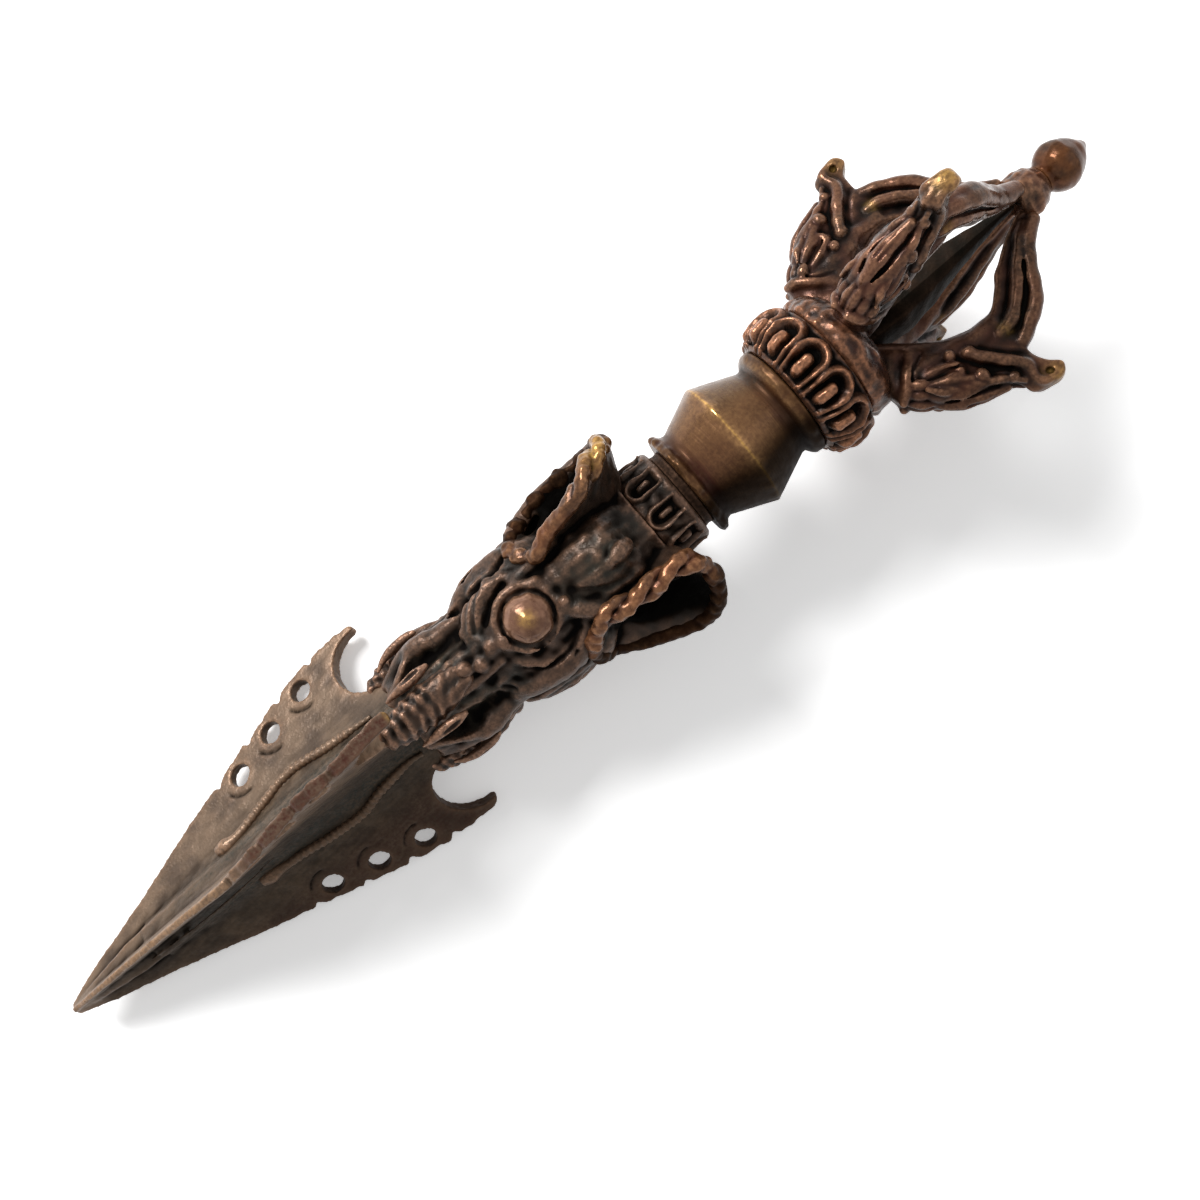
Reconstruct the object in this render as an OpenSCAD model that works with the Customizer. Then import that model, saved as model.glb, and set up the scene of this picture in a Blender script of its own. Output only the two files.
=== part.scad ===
// Phurba: a three-edged ritual dagger of cast, turned and twisted copper alloy.
// The pieces are modelled along the dagger's own axis, X from the blade's tip to the
// finial, and then laid down the way the finished dagger rests on a table.
// Roll angles count from straight up towards +Y.

/* [Blade] */
// Length of the blade, from its tip to the face that meets the makara head
blade_len = 62.6; // [50:0.1:75]
// Reach of each fin from the axis at its hook
fin_reach = 19.2; // [16:0.1:23]
// Thickness of a fin along its edge at the hook
fin_edge = 1.9; // [1.2:0.1:2.6]
// Radius of the valley between two fins at the root
valley_r = 3.4; // [2.8:0.1:4.2]
// Radius of a piercing
pierce_r = 1.6; // [0.8:0.1:1.9]
// Station of the first piercing from the tip
pierce_first = 37.2; // [35:0.1:38]
// Distance from one piercing to the next, and from one scallop to the next
pierce_pitch = 6.9; // [5.5:0.1:7.1]
// Distance from a piercing's centre out to the fin's edge
pierce_inset = 2.9; // [2.6:0.1:3.6]
// Depth of the nick between two scallops
scallop_depth = 0.55; // [0.2:0.05:0.9]
// Radius of the round notch behind each hook
notch_r = 5.2; // [4.5:0.1:5.8]
// Radius of the blade's root, inside the notches
root_r = 7.3; // [6.2:0.1:7.6]
// Reach of the hook's point past the centre of its notch
hook_lead = 1.0; // [0.6:0.1:2]

/* [Serpents] */
// Radius of a serpent's body
serpent_r = 0.7; // [0.4:0.05:0.9]
// Length of a serpent, from its snout to its tail
serpent_len = 31; // [24:0.5:33]
// Distance from a serpent's tail to the blade's root face
serpent_tail_gap = 3.2; // [1:0.1:6]
// Distance from the axis out to the middle line of a serpent's waves
serpent_line = 4.6; // [4.2:0.1:6]
// Swing of the waves either side of that line
serpent_swing = 1.3; // [0.4:0.1:1.8]

/* [Makara head] */
// Length of the head, from the blade to the lotus collar
head_len = 41.1; // [36:0.1:46]
// Radius of the head round the eyes
head_r = 8.9; // [8:0.1:10]
// Rise of the brow and of the crest over that radius
head_relief = 2.4; // [1:0.1:3.2]
// Roll angle from an eye to the crest leaf behind it
leaf_roll = 4; // [0:1:12]
// Distance from the blade to the eyes' centres
eye_offset = 21.7; // [20:0.1:24]
// Radius of an eye stud
eye_r = 3.4; // [2.4:0.1:3.8]
// Height of an eye stud over its seat
eye_height = 3.4; // [2:0.1:4.5]
// Radius of an eye stud's shank
eye_shank_r = 1.0; // [0.6:0.1:1.4]
// Depth of an eye stud's shank in the head
eye_shank_len = 3.6; // [2:0.1:4.2]
// Radius of a trunk at its root
trunk_r = 2.2; // [1.6:0.1:2.6]
// Length of a trunk
trunk_len = 13.5; // [11:0.5:14]
// Distance from the blade to a trunk's root
trunk_root = 10.5; // [9:0.1:12]
// Length of a tusk
tusk_len = 6.4; // [4:0.1:7]
// Radius of a tusk at its root
tusk_r = 0.75; // [0.5:0.05:1]
// Roll angle from a trunk to each of its tusks
tusk_roll = 27; // [24:1:34]

/* [Twisted loops] */
// Radius of one strand of the twisted rod
strand_r = 0.95; // [0.7:0.05:1.1]
// Length of a loop along the dagger, over its strands
loop_len = 21.6; // [19:0.1:23]
// Distance from the blade to the front of a loop
loop_offset = 24.2; // [23.6:0.1:26]
// Distance from the axis out to the middle of the strands where a loop stands out most
loop_reach = 15.4; // [14.5:0.1:17]
// Clearance of a loop in its seat on the head
loop_seat = 0.3; // [0.1:0.05:0.5]
// Turns of the strands round one loop
loop_turns = 7; // [5:1:9]

/* [Lotus collar and grip] */
// Length of the lower lotus collar
collar_len = 5.9; // [4.5:0.1:7.5]
// Radius of the lower lotus collar
collar_r = 6.6; // [6:0.1:7.6]
// Length of the sunk neck ring under the grip
neck_len = 1.3; // [0.8:0.1:2.5]
// Radius of the neck ring
neck_r = 5.6; // [4.5:0.1:6.5]
// Length of the turned grip
grip_len = 17.7; // [15:0.1:22]
// Radius of the grip's ridge
ridge_r = 9.65; // [8.5:0.05:11]
// Radius of the grip's two waists
waist_r = 6.85; // [5.5:0.05:7.5]
// Radius of the flange next to the neck ring
lower_flange_r = 7.6; // [6.8:0.1:8.5]
// Radius of the flange next to the upper lotus
upper_flange_r = 8.3; // [7.6:0.1:9]
// Length of the upper lotus
lotus_len = 7.2; // [6:0.1:9]
// Radius of the upper lotus under its petals
lotus_r = 9.9; // [9.2:0.1:11]
// Height of the petals' outlines over the lotus
petal_relief = 0.9; // [0.4:0.05:1.2]

/* [Crown] */
// Length of the domed base of the crown
dome_len = 3.0; // [2.4:0.1:5]
// Radius of the domed base
dome_r = 9.5; // [8.6:0.1:10.5]
// Length of the crown's arches, from the base to the top collar
crown_len = 29.0; // [26:0.1:32]
// Distance from the axis to the outer edge of an arch at its widest
arch_reach = 17; // [15:0.1:18.5]
// Width of an arch across
arch_w = 5.8; // [4.6:0.1:6.6]
// Distance from the axis to the tip of a makara's snout
snout_reach = 22.3; // [20:0.1:23]
// Roll angle of the first makara of the crown
crown_roll = 18; // [0:1:30]
// Radius of the central prong at its widest
spindle_r = 4.6; // [3.6:0.1:5.2]
// Length of the top collar
top_collar_len = 4.6; // [3.6:0.1:6]
// Radius of the top collar
top_collar_r = 3.35; // [3:0.05:4]
// Length of the finial over the top collar
finial_len = 7.6; // [6:0.1:10]
// Radius of the finial's knob
finial_r = 3.6; // [2.8:0.05:4.2]

/* [Core] */
// Radius of the rod that runs through the dagger
rod_r = 1.6; // [1.2:0.1:2.2]
// Depth of the rod's sockets in the blade and in the central prong
rod_socket = 6; // [4:0.5:8]
// Clearance round the rod and the shanks
fit_gap = 0.05; // [0.02:0.01:0.1]

/* [Rest] */
// Pitch of the axis as the dagger lies, finial end up
lie_pitch = 6.14; // [4:0.01:8]
// Roll of the dagger as it lies
lie_roll = -0.33; // [-4:0.01:4]

/* [Hidden] */
$fn = 48;
BRONZE = "#5a4334";
COPPER = "#8a5638";
DARK = "#3a2f27";
GILT = "#a8804a";
faces = 3;
face_step = 360 / faces;
x_root = blade_len;
x_collar = x_root + head_len;
x_neck = x_collar + collar_len;
x_grip = x_neck + neck_len;
x_lotus = x_grip + grip_len;
x_dome = x_lotus + lotus_len;
x_crown = x_dome + dome_len;
x_top = x_crown + crown_len;
x_finial = x_top + top_collar_len;
x_apex = x_finial + finial_len;
x_eye = x_root + eye_offset;
eye_seat_r = head_r - 0.2;
rod_start = x_root - rod_socket;
rod_end = x_crown + rod_socket;
ridge_w = head_r * 0.105;
loop_middle = 57;
notch_x = blade_len - hook_lead;
notch_y = root_r + notch_r;
face_rolls = [0, face_step, 2 * face_step];
pair_r = strand_r * 1.5;
crown_rolls = [for (k = [0:3]) crown_roll + k * 90];

// Share of the blade's length, share of the fin's reach
FIN_OUTLINE = [
    [0, 0.02], [0.02, 0.06], [0.06, 0.125], [0.1, 0.17], [0.2, 0.275], [0.31, 0.405],
    [0.415, 0.535], [0.525, 0.65], [0.63, 0.785], [0.745, 0.885], [0.81, 0.955],
    [0.87, 0.985], [0.96, 0.995], [1, 0.965]
];
// Share of the head's length, share of its radius
HEAD_PROFILE = [
    [0, 0.68], [0.08, 0.78], [0.18, 0.86], [0.3, 0.8], [0.42, 0.96], [0.55, 1.02],
    [0.66, 1.0], [0.78, 1.08], [0.88, 1.08], [0.95, 0.95], [1, 0.76]
];
// Ridges cast on each face of the head, as points along them: share of the head's length,
// roll angle from the face's middle, and rise as a share of the relief. They are the flame
// lock round the eye, the brow, the knot behind the eye, the gill, the lower lid, the two
// lips and the bumps on the muzzle.
FOLDS = [
    [[0.345, 16, 0.3], [0.4, 36, 0.5], [0.47, 45, 0.6], [0.55, 42, 0.5]],
    [[0.52, 26, 0.3], [0.6, 31, 0.5], [0.655, 32, 0.5]],
    [[0.645, -14, 0.4], [0.68, -24, 0.5]],
    [[0.35, -46, 0.3], [0.41, -58, 0.6], [0.5, -60, 0.6], [0.57, -51, 0.5], [0.6, -42, 0.3]],
    [[0.44, -30, 0.2], [0.47, -38, 0.4], [0.52, -44, 0.4], [0.59, -43, 0.3]],
    [[0.01, -44, 0.3], [0.11, -52, 0.6], [0.17, -61, 0.7], [0.24, -65, 0.6], [0.31, -57, 0.3]],
    [[0.01, 34, 0.2], [0.11, 47, 0.5], [0.19, 57, 0.6], [0.3, 53, 0.4], [0.38, 60, 0.4]],
    [[0.26, 2, 0.5], [0.28, 0, 0.3], [0.32, -4, 0.5], [0.35, 0, 0.3], [0.38, 3, 0.4], [0.42, -3, 0.3]]
];
// A loop's middle line: share of its length, roll angle from the face's middle, and share of
// its reach
LOOP_PATH = [
    [0.11, 31, 0.69], [0.285, 32, 0.79], [0.47, 31, 0.885], [0.66, 32, 0.96], [0.82, 37, 1], [0.94, 45, 0.97],
    [1, 56, 0.865], [1, 68, 0.785], [0.91, 78, 0.755], [0.74, 82, 0.75], [0.55, 82, 0.755], [0.365, 81, 0.75],
    [0.19, 77, 0.71], [0.04, 66, 0.675], [0, 50, 0.665]
];
// Share of the arch's length, outer edge and inner edge as shares of its reach, half width
// as a share of its width, and rise of the snout as a share of the snout's full rise
ARCH_PROFILE = [
    [0, 0.65, 0.18, 0.4, 0], [0.06, 0.7, 0.25, 0.48, 0], [0.12, 0.78, 0.29, 0.5, 0],
    [0.21, 0.9, 0.365, 0.52, 0], [0.3, 0.985, 0.42, 0.54, 0], [0.39, 1, 0.465, 0.54, 0],
    [0.455, 0.995, 0.49, 0.5, 0.2], [0.52, 0.975, 0.5, 0.46, 0.7], [0.57, 0.945, 0.5, 0.42, 1],
    [0.62, 0.9, 0.48, 0.39, 0.95], [0.645, 0.88, 0.47, 0.38, 0], [0.74, 0.753, 0.35, 0.33, 0],
    [0.815, 0.576, 0.26, 0.29, 0], [0.905, 0.376, 0.153, 0.23, 0], [1, 0.185, 0.08, 0.16, 0]
];

lie_height = -min(lowest(blade_rings(), [0]), lowest(loop_rings(), face_rolls),
    lowest(makara_rings(), crown_rolls));
lie_middle = (x_apex * cos(lie_pitch) - fin_reach * FIN_OUTLINE[0][1] * sin(lie_pitch)) / 2;

function unit(v) = v / norm(v);
function mix(a, b, t) = a + (b - a) * t;
function bell(d, width) = exp(-pow(d / width, 2));
// A smooth closed curve through points, at share u of the way from point i to the next
function curve(points, i, u) = let (n = len(points), a = points[(i + n - 1) % n], b = points[i],
    c = points[(i + 1) % n], d = points[(i + 2) % n])
    0.5 * (2 * b + (c - a) * u + (2 * a - 5 * b + 4 * c - d) * pow(u, 2)
        + (3 * b - a - 3 * c + d) * pow(u, 3));
function clamp(v, low, high) = min(max(v, low), high);
// Column c of a profile, read at share t of its length
function profile_at(profile, t, c) = lookup(t, [for (row = profile) [row[0], row[c]]]);
// A point at station x, distance r from the axis and roll angle a
function polar(x, r, a) = [x, r * sin(a), r * cos(a)];
// Angle from roll a to the nearest of the three faces
function off_face(a) = let (m = (a % face_step + face_step) % face_step) min(m, face_step - m);

// A closed skin over rings of points, with flat ends, or joined into a loop
module skin(rings, loop = false) {
    n = len(rings[0]);
    m = len(rings);
    last = loop ? m - 1 : m - 2;
    sides = [for (i = [0:last], j = [0:n - 1])
        let (a = i * n + j, b = i * n + (j + 1) % n,
             c = ((i + 1) % m) * n + (j + 1) % n, d = ((i + 1) % m) * n + j)
        each [[a, c, b], [a, d, c]]];
    ends = loop ? [] : [[for (j = [0:n - 1]) j], [for (j = [n - 1:-1:0]) (m - 1) * n + j]];
    polyhedron(points = [for (ring = rings) each ring], faces = concat(sides, ends));
}

// Rings along a path: widths[i] across and heights[i] towards up, turned by twists[i]
function tube_rings(path, widths, heights, up, n, twists = undef, loop = false) =
    let (m = len(path))
    [for (i = [0:m - 1])
        let (before = path[loop ? (i + m - 1) % m : max(i - 1, 0)],
             after = path[loop ? (i + 1) % m : min(i + 1, m - 1)],
             t = unit(after - before), side = unit(cross(up, t)), top = cross(t, side),
             turn = twists == undef ? 0 : twists[i])
        [for (j = [0:n - 1])
            let (a = 360 * j / n, c = cos(a) * heights[i], s = sin(a) * widths[i])
            path[i] + top * (c * cos(turn) - s * sin(turn)) + side * (c * sin(turn) + s * cos(turn))]];

// Turns what is modelled straight up to roll angle a
module at_roll(a) rotate([-a, 0, 0]) children();

// A solid of revolution about the axis, from [station, radius] points
module turned(points) rotate([0, 90, 0]) rotate_extrude() polygon([for (p = points) [p[1], p[0]]]);

// A hole along the axis for the core rod
module rod_hole(x_from, x_to) {
    translate([x_from, 0, 0]) rotate([0, 90, 0]) cylinder(r = rod_r + fit_gap, h = x_to - x_from);
}

// Lays the dagger down on one fin and one twisted loop, with its lowest point on the table
// and the middle of its length over the origin
module laid_down() translate([-lie_middle, 0, lie_height]) rotate([lie_roll, -lie_pitch, 0]) children();
// Height of a point once it is rolled to a and the dagger is laid down
function laid_z(p, a) = let (r = lie_roll - a, up = p.y * sin(r) + p.z * cos(r))
    p.x * sin(lie_pitch) + up * cos(lie_pitch);
function lowest(rings, rolls) = min([for (ring = rings, p = ring, a = rolls) laid_z(p, a)]);

// Reach of a fin at station x, with the nicks between its scallops
function nick(x) = scallop_depth * max([for (k = [0:3])
    max(0, 1 - abs(x - pierce_first - (k - 0.5) * pierce_pitch) / (pierce_pitch / 5))]);
function fin_r(x) = fin_reach * profile_at(FIN_OUTLINE, x / blade_len, 1) - nick(x);
function fin_half(x) = min(fin_edge / 2 * mix(0.55, 1, x / blade_len), 0.4 * fin_r(x));
function valley(x) = min(valley_r * mix(0.7, 1, x / blade_len), 0.5 * fin_r(x));
// Half thickness of a fin at distance r from the axis
function flank(x, r) = let (v = valley(x), f = fin_r(x), mid = 0.45 * f)
    lookup(r, [[v / 2, v * sin(60)], [mid, fin_half(x) * 1.35], [f, fin_half(x)]]);
function blade_ring(x) = let (f = fin_r(x), v = valley(x), mid = 0.45 * f)
    [for (k = [0:faces - 1]) each [for (p = [[-flank(x, mid), mid], [-fin_half(x), f], [fin_half(x), f],
        [flank(x, mid), mid], [v * sin(60), v / 2]])
        polar(x, norm(p), k * face_step + atan2(p[0], p[1]))]];

function blade_rings() = [for (i = [0:56]) blade_ring(blade_len * i / 56)];
// A ring drawn in towards the axis, so that the root face is a fan round the rod hole
function drawn_in(ring) = [for (p = ring) [p.x, p.y / 20, p.z / 20]];

module blade() {
    color(BRONZE) difference() {
        skin(concat(blade_rings(), [drawn_in(blade_ring(blade_len))]));
        for (k = [0:faces - 1], i = [0:2]) {
            x = pierce_first + i * pierce_pitch;
            r = fin_reach * profile_at(FIN_OUTLINE, x / blade_len, 1) - pierce_inset;
            at_roll(k * face_step) translate([x, 0, r]) rotate([90, 0, 0])
                cylinder(r = pierce_r, h = 4 * fin_edge, center = true);
        }
        for (k = [0:faces - 1]) at_roll(k * face_step) translate([notch_x, 0, notch_y])
            rotate([90, 0, 0]) cylinder(r = notch_r, h = 6 * fin_edge, center = true);
        rod_hole(rod_start, blade_len + 1);
    }
}

// A serpent on the flank of one fin: a waving body with a swollen head towards the tip
module serpent(roll, side) {
    steps = 30;
    wave_start = 20;
    wave_end = 400;
    x_tail = blade_len - serpent_tail_gap;
    function wave(t) = serpent_line - serpent_swing * cos(mix(wave_start, wave_end, t)) * mix(0.5, 1, sin(180 * t));
    function at(t) = let (x = x_tail - serpent_len * (1 - t), r = wave(t), h = flank(x, r))
        [x, side * (h + serpent_r * 0.9), r];
    path = [for (i = [0:steps]) at(i / steps)];
    size = [for (i = [0:steps]) let (t = i / steps)
        serpent_r * (t < 0.12 ? mix(0.9, 1.5, sin(180 * t / 0.12)) : mix(1, 0.35, pow(t, 3)))];
    color(COPPER) at_roll(roll)
        skin(tube_rings(path, size, [for (s = size) s * 0.9], [0, side, 0], 6));
}

// The head that holds the blade in its three mouths
function head_at(x) = (x - x_root) / head_len;
// Rise of the nearest ridge at station x and roll a, on the face whose middle is at roll 0
function over_ridge(p, a, b) = let (w = b - a, t = clamp((p - [a.x, a.y]) * [w.x, w.y] / (w.x * w.x + w.y * w.y), 0, 1))
    mix(a.z, b.z, t) * bell(norm(p - [a.x, a.y] - [w.x, w.y] * t), ridge_w);
function flat_out(t, a) = [t * head_len, a * PI / 180 * head_r];
function ridges(x, a) = let (p = [x - x_root, a * PI / 180 * head_r])
    max([for (fold = FOLDS, i = [0:len(fold) - 2])
        let (p0 = flat_out(fold[i][0], fold[i][1]), p1 = flat_out(fold[i + 1][0], fold[i + 1][1]))
        abs(p.x - p0.x) > 6 * ridge_w ? 0 : over_ridge(p, [p0.x, p0.y, fold[i][2]], [p1.x, p1.y, fold[i + 1][2]])]);
function eyelid(x, a) = 0.25 * bell(norm([x - x_eye, a * PI / 180 * head_r]) - eye_r - 1, 0.5);
// Roll a counted from the middle of the nearest face
function to_face(a) = (((a + face_step / 2) % face_step) + face_step) % face_step - face_step / 2;
function head_skin(x, a) =
    let (t = head_at(x), d = off_face(a), f = to_face(a),
         brow = 0.45 * bell(x - x_eye + 1, 6) * bell(d, 30),
         crest = 0.95 * bell(t - 0.86, 0.12) * bell(d, 30),
         muzzle = 0.75 * bell(t - 0.16, 0.16) * bell(d, 18),
         jaw = 0.2 * bell(t - 0.5, 0.12) * bell(d - 50, 16),
         leaf = bell(t - 0.9, 0.1) * bell(off_face(a + leaf_roll), 9),
         gap = bell(t - 0.82, 0.14) * bell(off_face(a + 60), 22),
         fold = max(ridges(x, f), ridges(x, f - face_step), ridges(x, f + face_step), eyelid(x, f)))
    head_r * profile_at(HEAD_PROFILE, t, 1)
        + head_relief * (brow + crest + muzzle + jaw + fold + 0.5 * leaf - gap);

module makara_head() {
    steps = 40;
    around = 56;
    color(DARK) difference() {
        skin([for (i = [0:steps]) let (x = x_root + head_len * i / steps)
            [for (j = [0:around - 1]) polar(x, head_skin(x, 360 * j / around), 360 * j / around)]]);
        rod_hole(x_root - 1, x_collar + 1);
        for (k = [0:faces - 1]) at_roll(k * face_step) {
            translate([x_eye, 0, eye_seat_r]) cylinder(r = eye_r + 0.35, h = 2 * head_relief);
            translate([x_eye, 0, eye_seat_r - eye_shank_len - fit_gap])
                cylinder(r = eye_shank_r + fit_gap, h = eye_shank_len + 1);
        }
    }
}

// A turned conical stud, with its shank in the head
module eye_stud(k) {
    color(GILT) at_roll(k * face_step) translate([x_eye, 0, eye_seat_r]) rotate_extrude()
        polygon([[0, -eye_shank_len], [eye_shank_r, -eye_shank_len], [eye_shank_r, 0], [eye_r, 0],
            [eye_r, eye_height * 0.16], [eye_r * 0.93, eye_height * 0.36], [eye_r * 0.72, eye_height * 0.62],
            [eye_r * 0.4, eye_height * 0.86], [eye_r * 0.16, eye_height * 0.97], [0, eye_height]]);
}

// A ribbed trunk over the fin's root, with a tusk on each side
module trunk(k) {
    steps = 22;
    x_tip = x_root + trunk_root - trunk_len;
    function floor_under(x) = x > notch_x ? max(head_skin(max(x, x_root), 0), root_r)
        : notch_y - sqrt(pow(notch_r, 2) - pow(x - notch_x, 2));
    size = [for (i = [0:steps]) let (t = i / steps)
        trunk_r * mix(0.5, 1, sin(90 * min(1, t * 2.2))) * (t > 0.75 ? mix(1, 0.6, (t - 0.75) * 4) : 1)
            * (i % 2 == 0 ? 1.06 : 0.9)];
    path = [for (i = [0:steps]) let (x = x_tip + trunk_len * i / steps)
        [x, 0, floor_under(x) + size[i]]];
    color(BRONZE) at_roll(k * face_step)
        skin(tube_rings(path, [for (s = size) s * 1.1], size, [0, 0, 1], 10));
}

// Six pointed tusks, one on each side of each trunk
module tusks() {
    color(GILT) for (k = [0:faces - 1], side = [-1, 1])
        at_roll(k * face_step + side * tusk_roll)
            translate([x_root + trunk_root - 2, 0, head_skin(x_root + trunk_root - 2, tusk_roll) + tusk_r * 1.2])
                rotate([0, -96, 0]) cylinder(r1 = tusk_r, r2 = tusk_r * 0.25, h = tusk_len);
}

// A ring of two strands twisted together, soldered to the head at its front. Where the
// head rises to meet it, it lies in the head's surface with the clearance of a seat.
function loop_point(share, roll, out) = let (x = x_root + loop_offset + pair_r + share * (loop_len - 2 * pair_r))
    polar(x, max(out * loop_reach, x < x_collar ? head_skin(x, roll) + pair_r + loop_seat : 0), roll);
function loop_rings() = let (between = 4, steps = len(LOOP_PATH) * between,
    path = [for (i = [0:len(LOOP_PATH) - 1], j = [0:between - 1]) let (p = curve(LOOP_PATH, i, j / between))
        loop_point(p[0], p[1], p[2])],
    twists = [for (i = [0:steps - 1]) 180 * loop_turns * i / steps])
    tube_rings(path, [for (p = path) strand_r * 0.92], [for (p = path) pair_r],
        polar(0, 1, loop_middle), 8, twists, true);

module twisted_loop(k) {
    color(COPPER) at_roll(k * face_step) skin(loop_rings(), loop = true);
}

// Raised U-shaped petal outlines with a boss in each, round a turned band. Their round ends
// point to the finial, or to the blade where they are turned back.
module petals(count, roll, x_from, length, r, relief, w, back = false) {
    for (i = [0:count - 1]) at_roll(roll + i * 360 / count)
        translate([x_from + (back ? length : 0), 0, r - 1]) rotate([0, 0, back ? 180 : 0]) {
        difference() {
            petal_form(length, w, relief + 1);
            translate([-0.01, 0, 0.6]) petal_form(length - w * 0.2, w * 0.62, relief + 2);
        }
        petal_form(length * 0.55, w * 0.3, relief * 0.9 + 1);
    }
}
module petal_form(length, w, h) {
    linear_extrude(h) {
        translate([0, -w / 2]) square([length - w / 2, w]);
        translate([length - w / 2, 0]) circle(r = w / 2);
    }
}

module lotus_collar() {
    color(DARK) difference() {
        union() {
            turned([[x_collar, 0], [x_collar, collar_r], [x_neck - 0.8, collar_r],
                [x_neck, collar_r * 0.94], [x_neck, 0]]);
            intersection() {
                petals(9, -10, x_collar, collar_len - 0.6, collar_r, petal_relief, 3, back = true);
                turned([[x_collar, 0], [x_collar, collar_r + petal_relief * 0.8],
                    [x_neck - 1.6, collar_r + petal_relief], [x_neck - 0.4, collar_r * 0.96], [x_neck - 0.4, 0]]);
            }
        }
        rod_hole(x_collar - 1, x_neck + 1);
    }
}

module neck_ring() {
    color(DARK) difference() {
        turned([[x_neck, 0], [x_neck, neck_r], [x_grip, neck_r], [x_grip, 0]]);
        rod_hole(x_neck - 1, x_grip + 1);
    }
}

module grip() {
    bead = 0.9;
    ridge_x = mix(x_grip, x_lotus, 0.47);
    color(GILT) difference() {
        turned([[x_grip, 0], [x_grip, lower_flange_r - 0.3], [x_grip + 0.3, lower_flange_r],
            [x_grip + bead, lower_flange_r - 0.15], [x_grip + bead * 1.4, waist_r],
            [x_grip + bead * 2, waist_r], [ridge_x, ridge_r], [x_lotus - bead * 3.2, waist_r],
            [x_lotus - bead * 2.6, waist_r], [x_lotus - bead * 1.6, upper_flange_r - 0.3],
            [x_lotus - 0.3, upper_flange_r], [x_lotus, upper_flange_r - 0.2], [x_lotus, 0]]);
        rod_hole(x_grip - 1, x_lotus + 1);
    }
}

module lotus_cup() {
    color(BRONZE) difference() {
        union() {
            turned([[x_lotus, 0], [x_lotus, lotus_r * 0.86], [x_lotus + 1.4, lotus_r * 0.97],
                [x_lotus + 3.4, lotus_r], [x_dome - 1.2, lotus_r * 0.98], [x_dome, lotus_r * 0.94],
                [x_dome, 0]]);
            intersection() {
                petals(13, -18, x_lotus, lotus_len - 0.2, lotus_r, petal_relief * 1.5, 3.9);
                turned([[x_lotus, 0], [x_lotus, lotus_r * 0.9], [x_lotus + 2, lotus_r + petal_relief * 0.9],
                    [x_lotus + 4, lotus_r + petal_relief * 1.15], [x_dome - 1.4, lotus_r + petal_relief],
                    [x_dome, lotus_r], [x_dome, 0]]);
            }
        }
        rod_hole(x_lotus - 1, x_dome + 1);
    }
}

module crown_base() {
    color(BRONZE) difference() {
        turned([[x_dome, 0], [x_dome, dome_r * 0.97], [x_dome + 0.6, dome_r], [x_crown - 0.9, dome_r],
            [x_crown - 0.3, dome_r * 0.98], [x_crown, dome_r * 0.95], [x_crown, 0]]);
        rod_hole(x_dome - 1, x_crown + 1);
    }
}

// One makara of the crown: its head looks outwards, its snout curls up, and its tongue
// arches over to the top collar. Two beads for eyes and a rail of the tongue stand out on
// each side, and locks of the mane along its back.
function arch(t, c) = arch_reach * profile_at(ARCH_PROFILE, t, c);
function bead(t, z, at, out) = bell(norm([(t - at) * crown_len, z - out * arch_reach]), arch_w * 0.2);
function relief(t, z) = arch_w * (0.13 * max(bead(t, z, 0.335, 0.87), bead(t, z, 0.36, 0.68))
    + 0.1 * bell(z - mix(arch(t, 1), arch(t, 2), 0.6), 1) * bell(t - 0.72, 0.13));
function mane(t) = t > 0.06 && t < 0.42 ? 0.03 * arch_reach * cos(360 * t / 0.085) : 0;
function makara_ring(t) = let (n = 18, outer = arch(t, 1), inner = arch(t, 2),
    half = arch_w * profile_at(ARCH_PROFILE, t, 3), mid = (outer + inner) / 2, h = (outer - inner) / 2,
    rise = (snout_reach - arch(0.57, 1)) * profile_at(ARCH_PROFILE, t, 4))
    [for (j = [0:n - 1]) let (a = 360 * j / n, z = mid + h * cos(a), crest = pow(max(0, cos(a)), 4),
        y = half * sin(a) + sign(sin(a)) * relief(t, z) * abs(sin(a)))
        [x_crown + crown_len * t, clamp(y, 0.1 - z, z - 0.1), z + (rise + mane(t)) * crest]];
function makara_rings() = let (rows = [for (row = ARCH_PROFILE) row[0]])
    [for (t = [for (i = [0:len(rows) - 2]) each [rows[i], (rows[i] + rows[i + 1]) / 2], 1]) makara_ring(t)];

module crown_makara(k) {
    color(COPPER) at_roll(crown_rolls[k]) skin(makara_rings());
}

// The four-sided prong in the middle of the crown
module central_prong() {
    outline = [[0, 0.62], [0.12, 0.8], [0.28, 1], [0.45, 0.82], [0.65, 0.5], [0.85, 0.24], [1, 0.14]];
    color(DARK) at_roll(crown_roll) difference() {
        skin([for (p = outline) [for (a = [45:90:315])
            polar(x_crown + crown_len * p[0], spindle_r * p[1], a)]]);
        rod_hole(x_crown - 1, rod_end + fit_gap);
    }
}

module top_collar() {
    color(COPPER) difference() {
        turned([[x_top, 0], [x_top, top_collar_r * 0.8], [x_top + 0.8, top_collar_r * 0.97],
            [x_top + 2.2, top_collar_r], [x_top + 3.4, top_collar_r * 0.9], [x_finial, top_collar_r * 0.66],
            [x_finial, 0]]);
        translate([x_top - 1, 0, 0]) rotate([0, 90, 0]) cylinder(r = 0.9 + fit_gap, h = top_collar_len + 2);
    }
}

module finial() {
    stem = 0.9;
    color(GILT) turned([[x_top + 0.6, 0], [x_top + 0.6, stem], [x_finial, stem],
        [x_finial, finial_r * 0.58], [x_finial + 0.6, finial_r * 0.64], [x_finial + 1.5, finial_r * 0.88],
        [x_finial + 2.6, finial_r * 0.99], [x_finial + 3.3, finial_r], [x_finial + 4.3, finial_r * 0.9],
        [x_finial + 5.4, finial_r * 0.58], [x_finial + 6.6, finial_r * 0.22], [x_apex, 0]]);
}

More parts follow.
